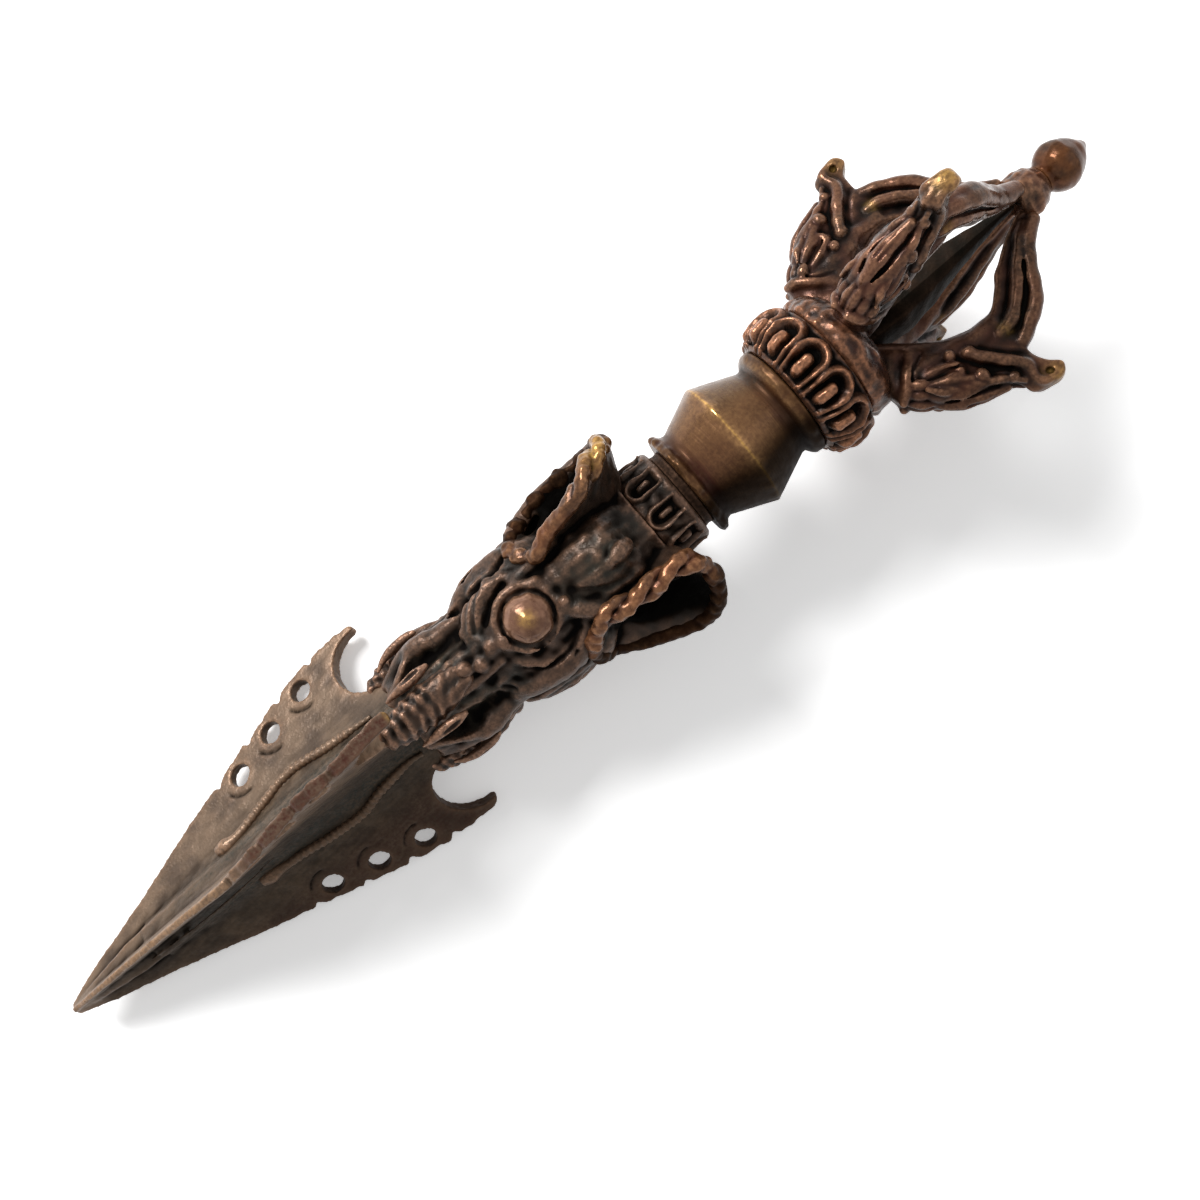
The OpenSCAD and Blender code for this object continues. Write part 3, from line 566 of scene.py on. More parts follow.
# The crown's makara from the side, as (x, distance from the axis): neck, mane, snout, arch and
# then back along the arch's inner edge.
MAKARA_OUTLINE = [
    (138.3, 6), (138.5, 10.6), (139.5, 11.7), (141.4, 12.6), (142.7, 14), (144, 15.5), (145.9, 16.4),
    (148.6, 16.9), (150.1, 18.1), (151.2, 19.2), (151.6, 20.6), (152.6, 21.5), (154.3, 21.85),
    (155.9, 21.8), (156.8, 20.95), (156.7, 20.2), (155.7, 19.3), (155, 17.6), (155.4, 15.9), (157.3, 14.9),
    (159.5, 13.7), (161.4, 11.9), (163, 9.3), (164.8, 6.9), (166.4, 5.5), (167.9, 4.2), (168.1, 1.6),
    (166, 1.8), (163.5, 3), (161.4, 4.4), (159.3, 5.8), (157.9, 7.2), (156.6, 8.4), (154.8, 9.4),
    (152.6, 9.2), (150, 8.7), (147.4, 7.4), (145, 5.6), (142.6, 3.2), (139.8, 1.6)
]
# Its raised strands as (softness, [(x, y, z, radius)]), on one side.
MAKARA_STRANDS = [
    # jaw and mane
    (0.9, [(142.2, 1.2, 9.4, 1.4), (145, 1.3, 10, 1.5), (148, 1, 10.6, 1.3), (151.2, 0.8, 10.8, 1),
           (154, 0.6, 11, 0.8)]),
    (0.9, [(142.4, 1.2, 13, 1.2), (145, 1.2, 14.8, 1.4), (147.6, 0.9, 16, 1.2)]),
    # cuff
    (0.8, [(138.9, 1.2, 11.5, 0.5), (139.9, 2.2, 10.8, 0.65), (141.2, 2.6, 9.4, 0.65),
           (143.4, 2.2, 7.2, 0.5)]),
    # locks on the flank
    (0.5, [(142.4, 2.4, 12.4, 0.6), (144.4, 2.6, 13.4, 0.75), (146.2, 2.4, 14.6, 0.6),
           (147.2, 2, 15.2, 0.4)]),
    (0.5, [(142.8, 2.2, 10.9, 0.5), (144.8, 2.5, 11.4, 0.7), (146.6, 2.5, 12.6, 0.65),
           (146.4, 2.5, 13.6, 0.5), (145.2, 2.6, 13.2, 0.4)]),
    # ridge that runs up to the snout
    (0.45, [(148.8, 2.1, 11.9, 0.75), (149.8, 2, 13.7, 0.85), (151.4, 1.7, 15.8, 0.9),
            (152.8, 1.4, 17.3, 0.85), (153.2, 1.2, 18.6, 0.75), (152.9, 1.15, 20.2, 0.6),
            (153.6, 1.05, 21.2, 0.5), (155.2, 0.9, 21.3, 0.4)]),
    # rail of the arch, and the tongue that lies on it
    (0.3, [(155.2, 0.5, 15.2, 0.9), (157.2, 0.55, 14, 1.15), (159.3, 0.55, 12.6, 1.25),
           (161.1, 0.5, 10.7, 1.25), (162.5, 0.45, 8.5, 1.2), (164.1, 0.4, 6.4, 1.15),
           (166, 0.35, 4.7, 1.1), (167.8, 0.3, 3.5, 0.9)]),
    (0.3, [(153.8, 1, 12.6, 0.7), (155.9, 0.85, 12.3, 1.05), (158.3, 0.8, 10.8, 1.15),
           (160.2, 0.75, 8.9, 1.1), (162.3, 0.65, 6.7, 1), (164.5, 0.5, 4.6, 0.85), (166.4, 0.4, 3.2, 0.7)])
]
MAKARA_CUTS = [
    [(156, 1.35, 13.9, 0.2), (157.6, 1.4, 12.6, 0.3), (159.5, 1.35, 11, 0.3), (161.2, 1.25, 9, 0.3),
     (162.8, 1.1, 7, 0.26), (164.4, 0.9, 5.2, 0.22)],
    [(150.8, 2, 12.4, 0.4), (152.6, 1.75, 14.8, 0.5), (154.4, 1.4, 16.6, 0.4)],
    [(148.4, 2.3, 13.6, 0.3), (149.5, 2, 15.6, 0.35), (151.4, 1.6, 17.2, 0.3)],
    [(142.6, 2.8, 11.6, 0.2), (145, 3, 12.2, 0.24), (147.2, 2.6, 13, 0.24)],
    [(140.9, 2.6, 10.9, 0.25), (142.2, 2.9, 9.4, 0.28), (144.4, 2.7, 8.2, 0.25)],
    [(143, 1, 14.9, 0.25), (145, 1.35, 16.2, 0.32), (147.2, 1.3, 17.2, 0.3), (149, 1, 17.8, 0.25)],
    [(144.6, 0.4, 17, 0.12), (146.2, 0.45, 18, 0.14), (147.8, 0.4, 18.4, 0.12)]
]
MAKARA_BALLS = [(149, 1.95, 12.1, 1), (146.8, 2.6, 11, 0.8), (148.2, 1.8, 15.6, 1.1), (151.1, 1, 18.1, 0.8)]


def makara_piece():
    clay = Clay((137.6, -4.2, 0.2), (168.8, 4.2, 22.6), 0.165)

    def half(x, z):
        body = np.interp(x, [138, 141, 145, 147.5, 150, 152, 154.5, 157, 162, 168],
                         [2.2, 2.5, 2.5, 2.2, 1.8, 1.5, 1.2, 0.75, 0.7, 0.7])
        return body + (1.25 - body) * step(z, 16.6, 18.6) * step(x, 148, 150)

    clay.slab(spline(MAKARA_OUTLINE, 3, closed=True), half, lambda x: np.interp(x, [150, 156], [1.9, 0.6]))
    for soft, line in MAKARA_STRANDS:
        for s in (1, -1):
            clay.strand(mirrored(line, s), soft)
    # leaf down the middle of the back, and the fan of hair under it
    clay.strand([(142.4, 0, 13.8, 0.8), (144.2, 0, 15.6, 1.15), (146.2, 0, 16.8, 1.2), (148.2, 0, 17.5, 1),
                 (150, 0, 18.2, 0.75)], 0.25)
    for s in (-1, 1):
        for k, (y, drop) in enumerate(((0.5, 0), (1.5, 0.6), (2.3, 1.7))):
            clay.strand([(139.7 + 0.4 * k, s * y, 11.7 - drop, 0.55),
                         (140.9 + 0.4 * k, s * y * 1.1, 13 - drop, 0.75),
                         (142.2 + 0.4 * k, s * y * 0.95, 13.9 - drop, 0.5)], 0.2)
        for k in range(5):
            clay.strand([(141.8 + 1.4 * k, s * (3.05 - 0.22 * k), 12.6 + 0.75 * k, 0.26),
                         (142.9 + 1.4 * k, s * (2.65 - 0.22 * k), 13.9 + 0.7 * k, 0.55),
                         (144.6 + 1.4 * k, s * (1.85 - 0.15 * k), 15.1 + 0.65 * k, 0.4)], 0.14)
    edge = [(143.8, 1.5, 14.4, 0.5), (146.2, 1.7, 15.7, 0.7), (148.6, 1.4, 16.6, 0.65),
            (150.6, 0.95, 18, 0.5), (151.8, 0.9, 19.4, 0.4)]
    for s in (-1, 1):
        clay.strand(mirrored(edge, s), 0.2)
    clay.ball((155.1, 0, 21), (1.5, 1.45, 0.95), 0.4)
    for s in (-1, 1):
        for cut in MAKARA_CUTS:
            clay.strand(mirrored(cut, s), 0.25, dig=True)
        clay.ball((154.7, s * 1.25, 20.5), 0.5, 0.2, dig=True)
        for *centre, size in mirrored(MAKARA_BALLS, s):
            clay.ball(centre, size, 0.15)
    clay.roughen(0.08, 2.6, 8)
    x, y, z = clay.grid()
    clay.field = np.maximum(clay.field, 138.3 - x)
    clay.field = np.maximum(clay.field, (np.abs(y) - np.maximum(z, 0.3)) * 0.7).astype(np.float32)
    return clay.skin()


def sideways(a, count, phase, radius):
    """How far aside of the nearest of count petals a roll angle lies."""
    turn = 360 / count
    return np.radians((a - phase + turn / 2) % turn - turn / 2) * radius


def petals(x, a, count, phase, x_open, x_round, half, wall, height, radius, boss):
    """Height of raised U-shaped outlines with a boss in each; they are round beyond x_round,
    on the side away from x_open."""
    way = 1 if x_round > x_open else -1
    s = sideways(a, count, phase, radius)
    out = np.maximum((x - x_round) * way, 0)
    gone = (x - x_open) * way
    length = abs(x_round - x_open)
    ring = np.abs(np.hypot(out, s) - half * (0.9 + 0.1 * np.clip(gone / length, 0, 1)))
    width = wall * (0.6 + 0.4 * step(gone, length * 0.4, length))
    line = height * (0.45 + 0.55 * step(gone, 0, length)) * np.sqrt(np.clip(1 - (ring / width)**2, 0, 1))
    b0, b1, bw, bh = boss
    core = np.hypot(x - np.clip(x, b0, b1), s)
    stud = bh * np.clip(1 - (core / bw)**4, 0, 1)
    cup = -0.35 * step(half - np.hypot(out, s), 0, 0.4) * step(gone, 0, 0.5)
    return np.where(gone > -0.3, np.maximum(line, stud) + cup, 0)


def noise_on(x, a, r, size, seed):
    return grain(wrapped(x, a, r), size, seed)


def collar_piece():
    def relief(x, a, r):
        h = petals(x, a, 9, -10, 108.5, 105.5, 1.45, 0.42, 0.75, 7.2, (105.8, 107, 0.5, 0.7))
        return step(r, 5, 6) * (h + 0.06 * noise_on(x, a, r, 1.8, 11))
    return lathe([
        (X_COLLAR + 0.05, 0.4), (X_COLLAR + 0.05, 6.5), (104.6, 6.7), (107.2, 6.75), (108.2, 6.9),
        (109, 7.1), (109.5, 6.8), (109.55, 0.4)], 420, relief, 0.15)


def grip_piece():
    def relief(x, a, r):
        t = np.radians(a)
        lines = 0.004 * np.sin(x * 21) + 0.004 * np.sin(x * 34 + 1.3 * np.sin(t))
        wear = 0.06 * noise_on(x, a, r, 2.8, 21) * bell(x - 119.3, 1.2)
        lip = 0.22 * np.sin(3 * t + 1) + 0.2 * noise_on(x, a, r, 1.6, 22)
        rim = 0.09 * noise_on(x, a, r, 2.2, 23) * bell(x - 127.8, 0.8)
        return step(r, 5, 6.4) * (lines + wear + lip * bell(x - 111.6, 0.7) + rim)
    return lathe([
        (X_GRIP + SEAM, 0.4), (X_GRIP + SEAM, 7.3), (110.9, 7.5), (111.3, 7.85), (111.9, 7.8),
        (112.5, 7.1), (113.1, 6.9), (119.3, 9.6), (125.7, 6.85), (126.3, 6.85), (127, 7.8), (127.5, 8.15),
        (128.4, 8.25), (X_LOTUS - SEAM, 7.9), (X_LOTUS - SEAM, 0.4)], 200, relief, 0.17)


# One boss of the upper lotus: its ends along X, its half width and its height.
LOTUS_BOSS = (130.3, 132.1, 0.95, 1.35)
LOTUS_COUNT, LOTUS_PHASE, LOTUS_R = 13, -18, 10.3


def lotus_piece():
    def relief(x, a, r):
        h = petals(x, a, LOTUS_COUNT, LOTUS_PHASE, 129, 132.7, 2, 0.72, 1.2, LOTUS_R, LOTUS_BOSS)
        return step(r, 6.5, 8.3) * (h + 0.07 * noise_on(x, a, r, 1.6, 31))
    return lathe([
        (X_LOTUS + SEAM, 0.4), (X_LOTUS + SEAM, 8.3), (129, 8.9), (129.9, 9.4), (131.2, 9.75),
        (132.8, 9.75), (134.2, 9.4), (135.2, 9.15), (X_DOME - SEAM, 9.1), (X_DOME - SEAM, 0.4)], 440,
        relief, 0.16)


def dome_piece():
    def relief(x, a, r):
        lobe = 0.5 * bell(np.mod(a - 18 + 45, 90) - 45, 24) * step(x, 137, 139)
        coarse, small = 0.16 * noise_on(x, a, r, 2.4, 41), 0.03 * noise_on(x, a, r, 1.1, 42)
        return step(r, 3, 5) * (lobe + coarse + small)
    return lathe([
        (X_DOME + SEAM, 0.4), (X_DOME + SEAM, 9.1), (136.4, 9.45), (137.5, 9.45), (138.6, 9), (139.6, 8.1),
        (140.5, 6.7), (141.1, 5), (141.4, 3.4), (141.4, 0.4)], 300, relief, 0.17, 2)


def neck_piece():
    return lathe([(X_NECK, 0.4), (X_NECK, 6), (110.2, 5.8), (X_GRIP, 6), (X_GRIP, 0.4)], 120)


def prong_piece():
    def relief(x, a, r):
        t = np.radians(a - 18 - 45)
        c = (np.abs(np.cos(t))**1.3 + np.abs(np.sin(t))**1.3)**(1 / 1.3)
        return r * (1 / c - 1) + 0.05 * noise_on(x, a, r, 3, 51)
    return lathe([
        (138.85, 0.3), (138.85, 2.7), (142.3, 3.5), (147, 4.3), (151.9, 3.6), (157.7, 2.2), (163.5, 1.05),
        (167.7, 0.65), (167.75, 0.2)], 160, relief, 0.25)


def top_piece():
    def relief(x, a, r):
        lobe = 0.2 * np.cos(4 * np.radians(a - 18)) * bell(x - 168.6, 1.2)
        return step(r, 1.2, 1.8) * (lobe + 0.06 * noise_on(x, a, r, 1.5, 61))
    return lathe([
        (X_TOP + SEAM, 0.3), (X_TOP + SEAM, 2.5), (168.6, 3.15), (170, 3.3), (171.2, 2.95), (171.9, 2.4),
        (X_FINIAL - SEAM, 2.2), (X_FINIAL - SEAM, 0.3)], 160, relief, 0.15, 2)


def finial_piece():
    def relief(x, a, r):
        return step(r, 0.6, 1.5) * 0.05 * noise_on(x, a, r, 2.4, 71)
    return lathe([
        (X_FINIAL + SEAM, 0.3), (X_FINIAL + SEAM, 2), (172.9, 2.15), (173.4, 2.75), (174.2, 3.3),
        (175.2, 3.56), (176.2, 3.4), (177.2, 2.85), (178.4, 1.9), (179.5, 0.8), (179.97, 0.12)],
        160, relief, 0.15, 2)


def stud_piece():
    def relief(x, a, r):
        return 0.07 * noise_on(x, a, r, 2.2, 81) + 0.05 * np.sin(r * 9) * step(r, 0.5, 3)
    p, q = lathe([
        (8.75, 0.2), (8.75, 3.35), (9.3, 3.4), (10, 3.15), (10.7, 2.65), (11.3, 1.9), (11.7, 1.1),
        (12, 0.5), (12.12, 0.12)], 64, relief, 0.15)
    return np.stack([p[:, 1] + X_EYE, -p[:, 2], p[:, 0]], 1), q


def trunk_piece():
    clay = Clay((58.6, -3.9, 5.4), (75.4, 3.9, 12.9), 0.15)
    line = [(59.9, 7.4, 0.95), (60.9, 7.7, 1.3), (62.4, 7.8, 1.7), (64.5, 8.1, 2), (67, 8.3, 2.15),
            (69.5, 8.3, 2), (71.4, 8.3, 1.6), (73, 8.3, 1)]
    for y in (-0.55, 0.55):
        clay.strand([(x, y, z, r) for x, z, r in line], 0.3)
    x, y, z = clay.grid()
    bent = x + 0.1 * y * y - 0.25 * (z - 8.5)
    ribs = 0.15 * np.sin(bent * math.tau / 1.6) * step(69.5 - x, 0, 2)
    clay.field = clay.field + ribs
    clay.roughen(0.1, 1.5, 9)
    return clay.skin()


def tusk_piece(roll, s):
    clay = Clay((61.5, -6.9, 4.5), (72.1, 6.9, 12), 0.15)
    line = [(62.9, 3.7, 7.2, 0.25), (64.4, 3.8, 8, 0.5), (66.3, 3.8, 8.4, 0.75), (68.4, 3.9, 8.4, 0.8),
            (70, 4, 8.1, 0.4)]
    clay.strand(mirrored(line, s), 0.2)
    clay.ball((67.6, s * 4.3, 8.9), (1.6, 0.35, 0.4), 0.2, dig=True)
    return turned_by(clay.skin(), roll)


def serpent_piece(roll, side, line):
    path = np.array([turned(x, side * (float(flank(x, r)) + 0.25), r, roll) for x, r in spline(line, 8)])
    gone = np.concatenate([[0], np.cumsum(np.linalg.norm(np.diff(path, axis=0), axis=1))])
    even = np.linspace(0, gone[-1], 260)
    path = np.stack([np.interp(even, gone, path[:, i]) for i in range(3)], 1)
    t = even / gone[-1]
    beads = 0.11 * np.sin(even * math.tau / 0.95) * step(t, 0.15, 0.2)
    body = 0.66 * (1 + beads) * (1 - 0.5 * step(t, 0.8, 1))
    head = 0.5 * bell(t - 0.05, 0.045)
    return tube(path, body + head, turned(0, 1, 0, roll), 12, 0.9)


def standing_out(points, quads):
    """How far each point stands out of its surroundings, near by and further off."""
    pairs = links(quads)
    near = relaxed(points, pairs, 3)
    wide = relaxed(near, pairs, 20, 0.8)
    far = relaxed(wide, pairs, 60, 0.9)
    n = normals(near, quads)
    return [((a - b) * n).sum(1) for a, b in ((points, near), (near, wide), (wide, far))]


def make(name, part, cad, material, worn, dent, paint=None):
    """The piece that shows for a node. Heights of about worn show bare metal, and hollows of
    about dent are dark, partly as patina and partly as painted shade. paint(points) adds shares of gilt,
    rust, moss and of a near black that is mostly painted shade and at the grip's flanges dark joints, or
    dulls."""
    points, quads = part
    quads = outward(points, quads)
    fine, broad, far = standing_out(points, quads)
    mesh = bpy.data.meshes.new(name)
    ends = (quads[:, 2] == quads[:, 3]) | (quads[:, 1] == quads[:, 2])
    faces = [tuple(dict.fromkeys(f)) if e else tuple(f) for f, e in zip(quads.tolist(), ends)]
    mesh.from_pydata(lay(points).tolist(), [], faces)
    # sunk darkens the hollows: partly patina, partly painted shade where shade falls.
    values = {"worn": np.clip((fine * 2 + broad + far * 0.25) / worn, 0, 1),
              "sunk": np.clip(-(fine * 2 + broad + far * 0.6) / dent, 0, 1),
              "gilt": 0, "rust": 0, "moss": 0, "soot_and_shade": 0}
    for key, v in (paint(points) if paint else {}).items():
        if key == "dull":
            values["worn"] = values["worn"] * (1 - v)
        else:
            values[key] = np.maximum(values[key], v)
    for key, v in values.items():
        v = np.broadcast_to(np.asarray(v, np.float32), len(points))
        mesh.attributes.new(key, "FLOAT", "POINT").data.foreach_set("value", np.ascontiguousarray(v))
    mesh.validate()
    mesh.polygons.foreach_set("use_smooth", np.ones(len(mesh.polygons), bool))
    obj = bpy.data.objects.new(name, mesh)
    bpy.context.collection.objects.link(obj)
    mesh.materials.append(material)
    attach(obj, "root")
    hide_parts(cad)


def outward(points, quads):
    """The faces turned so that they look out of the skin."""
    a, b, c, d = (points[quads[:, i]] for i in range(4))
    volume = (a * np.cross(b, c)).sum() + (a * np.cross(c, d)).sum()
    return quads if volume > 0 else quads[:, [0, 3, 2, 1]]


def near_to(points, spots):
    """Shares that fall off round (x, y, z, reach) spots."""
    out = np.zeros(len(points))
    for x, y, z, reach in spots:
        out = np.maximum(out, bell(np.linalg.norm(points - np.array((x, y, z)), axis=1), reach))
    return out


def axial(points):
    """Places along the axis, distances from it and roll angles."""
    x, y, z = points.T
    return x, np.hypot(y, z), np.degrees(np.arctan2(y, z))


def blade_paint(p):
    x, r, roll = axial(p)
    front = bell(roll - np.degrees(fin_lean(x)), 6)
    crest = front * step(r - fin_r(x), -1.1, -0.4)
    broad = crest * step(x, 34, 40)
    valley = bell(off_face(roll) - 60, 34) * step(fin_r(x) * 0.75 - r, 0, 2) * step(x, 8, 30)
    # The flank towards -Y, away from the key lamp, is painted darker, redder and greener, with its bare
    # edges dulled: painted shade.
    right = step(-roll, 4, 12) * step(r, 1, 2.5)
    root = front * bell(x - 64.5, 0.3) * step(r, 17.5, 18.3)
    return {"rust": np.clip(broad + 0.6 * right * step(r, 6, 12), 0, 1),
            "moss": np.clip(0.9 * valley + 0.3 * right, 0, 1),
            "soot_and_shade": 0.42 * right, "dull": 0.9 * broad + 0.5 * right,
            "gilt": 0.8 * root + 0.1 * crest * step(36 - x, 0, 6)}


def cup(clay, roll, rim_path):
    """The ear behind a face: a wall from the head up to the twisted rim, dug out inside; head_paint paints
    that inside near black as painted shade.
    """
    rim = spline([polar(x, a + roll, r - 0.5) for x, a, r in rim_path], 4, closed=True)
    foot = []
    for x, a, _ in rim_path:
        x, a = 97.3 + (x - 97.5) * 0.76, 58 + (a - 57) * 0.62
        foot.append(polar(min(x, 103.2), a + roll, min(head_r(x, a), 9.6) - 0.9))
    foot = spline(foot, 4, closed=True)
    for low, high in zip(foot, rim):
        if np.linalg.norm(high - low) > 0.6:
            clay.strand([(*low, 1), (*high, 0.7)], 0.6, per=1)
    if roll != -120:
        back = [(*polar(x, a + roll + 1.5, r + 0.1), 1.15) for x, a, r in LOOP_PATH if a > 60]
        clay.strand(back, 0.6)
    clay.ball(polar(101.6, roll + 66, 8.7), 2.4, 0.9)
    clay.ball(polar(89, roll + 50, 9), 1.9, 1.4)
    turn = np.array([(1, 0, 0), polar(0, roll + 147, 1), polar(0, roll + 57, 1)])
    clay.ball(polar(97.6, roll + 58, 10.8), (5.6, 2.7, 3.6), 0.5, dig=True, turn=turn)


def head_paint(p):
    x, r, roll = axial(p)
    middle = off_face(roll + 3)
    off = (np.mod(roll - 58 + 60, 120) - 60) * math.pi / 180 * r
    wide = np.interp(r, [8, 15], [5.2, 9])
    narrow = np.interp(r, [8, 15], [2.5, 5.6])
    # Inside the ear cup is painted near black: painted shade.
    ear_shade = step(1.1 - np.hypot((x - 97.5) / wide, off / narrow), 0, 0.15) * step(r, 6.5, 7.5)
    cheeks = bell(x - 70, 6) * bell(middle - 30, 16) + 0.7 * bell(x - 96, 6) * bell(middle, 22)
    return {"soot_and_shade": ear_shade, "moss": np.clip(cheeks, 0, 1)}


def loop_paint(p, roll, third):
    turn = np.mod(axial(p)[2] - roll, 360)
    # One stretch of the rim, picked by roll angle, is the part turned away from the light and is painted
    # near black: painted shade.
    rim = step(72 - turn, 0, 14) if third else step(turn, 46, 60)
    bare = [] if third else [(*polar(105.3, roll + 44, 16.2), 3)]
    return {"soot_and_shade": 0.82 * rim, "gilt": 0.75 * near_to(p, bare)}


def grip_paint(p):
    x, _, roll = axial(p)
    low, high = x - 111.6, x - 128
    rust = bell(roll + 8, 30) * step(120 - x, 0, 3) + bell(low, 0.9) + bell(high, 0.9)
    seams = 0.45 * np.maximum(bell(high, 0.8), bell(low, 0.8))
    return {"gilt": 0.8 * bell(x - 119.3, 0.12), "rust": np.clip(rust, 0, 0.9),
            "moss": 0.6 * step(roll, 15, 45) * step(x, 119, 120.5),
            # The -Y half, away from the key lamp, is painted near black: painted shade; the seams at the
            # flanges are dark joints.
            "soot_and_shade": np.maximum(0.93 * step(-roll, 0, 36), seams),
            "dull": 0.7 * np.maximum(bell(high, 1.2), bell(low, 1.2))}


def lotus_paint(p):
    """The tops of the bosses are worn bare, and the -Y side, away from the key lamp, is darker as painted
    shade.
    """
    x, _, roll = axial(p)
    s = sideways(roll, LOTUS_COUNT, LOTUS_PHASE, LOTUS_R)
    x0, x1, half, _ = LOTUS_BOSS
    tops = step(half - np.hypot(x - np.clip(x, x0, x1), s), 0.05, 0.35)
    return {"worn": 0.75 * tops, "soot_and_shade": 0.22 * step(4 - p[:, 1], 0, 9)}


def makara_paint(p, roll):
    bare = [(*polar(155.6, roll, 21.6), 1.7)] + [(*polar(154.6, roll + s, 12.6), 0.7) for s in (5, -5)]
    back = [(*polar(145.5, roll, 16.5), 3.4)]
    return {"gilt": 0.7 * near_to(p, bare), "rust": 0.6 * near_to(p, back),
            # Darker towards -Y, away from the key lamp: painted shade.
            "soot_and_shade": 0.3 * step(3 - p[:, 1], 0, 6)}


def srgb(r, g, b):
    out = [(c / 255 / 12.92 if c < 10.3 else ((c / 255 + 0.055) / 1.055)**2.4) for c in (r, g, b)]
    return (*out, 1)


def wire(tree, n, inputs):
    """Sets inputs of a shader node to values, or joins them to outputs of other nodes."""
    for key, value in inputs.items():
        if isinstance(value, bpy.types.NodeSocket):
            tree.links.new(value, n.inputs[key])
        else:
            n.inputs[key].default_value = value


def node(tree, kind, inputs=None, result=0, **settings):
    """Adds a shader node and returns one of its outputs."""
    n = tree.nodes.new("ShaderNode" + kind)
    for key, value in settings.items():
        setattr(n, key, value)
    wire(tree, n, inputs or {})
    return n.outputs[result]


def bronze(name, body, shade, edge, rough, metal, bump=0.25, lines=False):
    """Patinated metal: dark in hollows, partly as patina and partly as painted shade; darker patches at
    random; edge colour where worn; gold on the highest spots; near black where painted shade is given.
    """
    m = bpy.data.materials.new(name)
    m.use_nodes = True
    tree = m.node_tree
    where = node(tree, "TexCoord", result="Object")

    def cloud(scale, detail=5):
        return node(tree, "TexNoise", {"Scale": scale, "Detail": detail, "Vector": where}, "Fac")

    def ramp(source, low, high, a=0, b=1):
        keys = {"From Min": low, "From Max": high, "To Min": a, "To Max": b, "Value": source}
        return node(tree, "MapRange", keys, "Result")

    def mixed(share, a, b):
        return node(tree, "Mix", {"Factor": share, 6: a, 7: b}, 2, data_type="RGBA")

    def maths(kind, a, b):
        return node(tree, "Math", {0: a, 1: b}, operation=kind)

    def named(key):
        return node(tree, "Attribute", result="Fac", attribute_name=key)

    patches = ramp(cloud(MOTTLE / 4), 0.42, 0.62)
    specks = ramp(cloud(MOTTLE * 2.2, 3), 0.35, 0.7, 0.35, 1.15)
    color = mixed(patches, srgb(*body), srgb(*shade))
    tints = {"moss": MOSS, "rust": RUST, "sunk": DEEP, "worn": srgb(*edge), "gilt": GOLD, "soot_and_shade": SOOT_AND_SHADE}
    for key, tint in tints.items():
        share = named(key)
        if key not in ("sunk", "soot_and_shade"):
            share = maths("MULTIPLY", share, specks)
        color = mixed(share, color, tint)
    # Where hollows or painted shade are dark, reflection is turned down and roughness raised, so that the
    # painted shade stays dark.
    hidden = maths("MAXIMUM", named("sunk"), named("soot_and_shade"))
    dull = maths("ADD", ramp(cloud(MOTTLE), 0.3, 0.7, rough - 0.06, rough + 0.12),
                 maths("MULTIPLY", hidden, 0.3))
    height = cloud(MOTTLE * 2.5, 6)
    if lines:
        turned = node(tree, "Mapping", {"Rotation": (0, -LIE_PITCH, 0), "Scale": LINE_SCALE,
                                        "Vector": where})
        brushed = node(tree, "TexNoise", {"Scale": 1, "Vector": turned}, "Fac")
        height = maths("ADD", maths("MULTIPLY", height, 0.3), brushed)
    relief = node(tree, "Bump", {"Strength": bump, "Distance": BUMP_DEPTH, "Height": height})
    wire(tree, tree.nodes["Principled BSDF"], {
        "Base Color": color, "Metallic": metal, "Normal": relief,
        "Specular IOR Level": ramp(hidden, 0, 0.8, 0.24, 0.02),
        "Roughness": maths("SUBTRACT", dull, maths("MULTIPLY", named("worn"), 0.14))})
    return m


GOLD = srgb(205, 160, 84)
RUST = srgb(66, 30, 19)
MOSS = srgb(44, 44, 36)
# Near blacks: DEEP for the hollows, partly patina and partly painted shade; the next one for the near black
# share, which is mostly painted shade.
DEEP = srgb(9, 7, 6)
SOOT_AND_SHADE = srgb(4, 3, 2)
# Noise per metre of the patina, its depth, and the scale of the turning lines.
MOTTLE = 900
BUMP_DEPTH = 0.0002
LINE_SCALE = (5200, 60, 60)
dark = bronze("dark_bronze", (60, 44, 34), (34, 27, 21), (172, 130, 104), 0.34, 0.35, 0.5)
copper = bronze("worn_copper", (92, 54, 34), (56, 35, 25), (200, 144, 100), 0.23, 0.45)
blade_skin = bronze("blade_bronze", (112, 92, 74), (82, 66, 53), (160, 126, 100), 0.4, 0.25, 0.45)
brass = bronze("turned_brass", (96, 65, 42), (70, 43, 27), (182, 138, 90), 0.25, 0.5, 0.16, True)
lotus_skin = bronze("lotus_bronze", (40, 26, 20), (26, 18, 14), (206, 142, 104), 0.26, 0.45)
crown_skin = bronze("crown_bronze", (74, 44, 32), (34, 23, 18), (204, 150, 114), 0.24, 0.45)
orange = bronze("finial_bronze", (84, 46, 21), (30, 17, 10), (166, 114, 70), 0.18, 0.45, 0.12)
stud_skin = bronze("stud_copper", (112, 78, 62), (78, 48, 36), (176, 136, 106), 0.23, 0.4, 0.12)

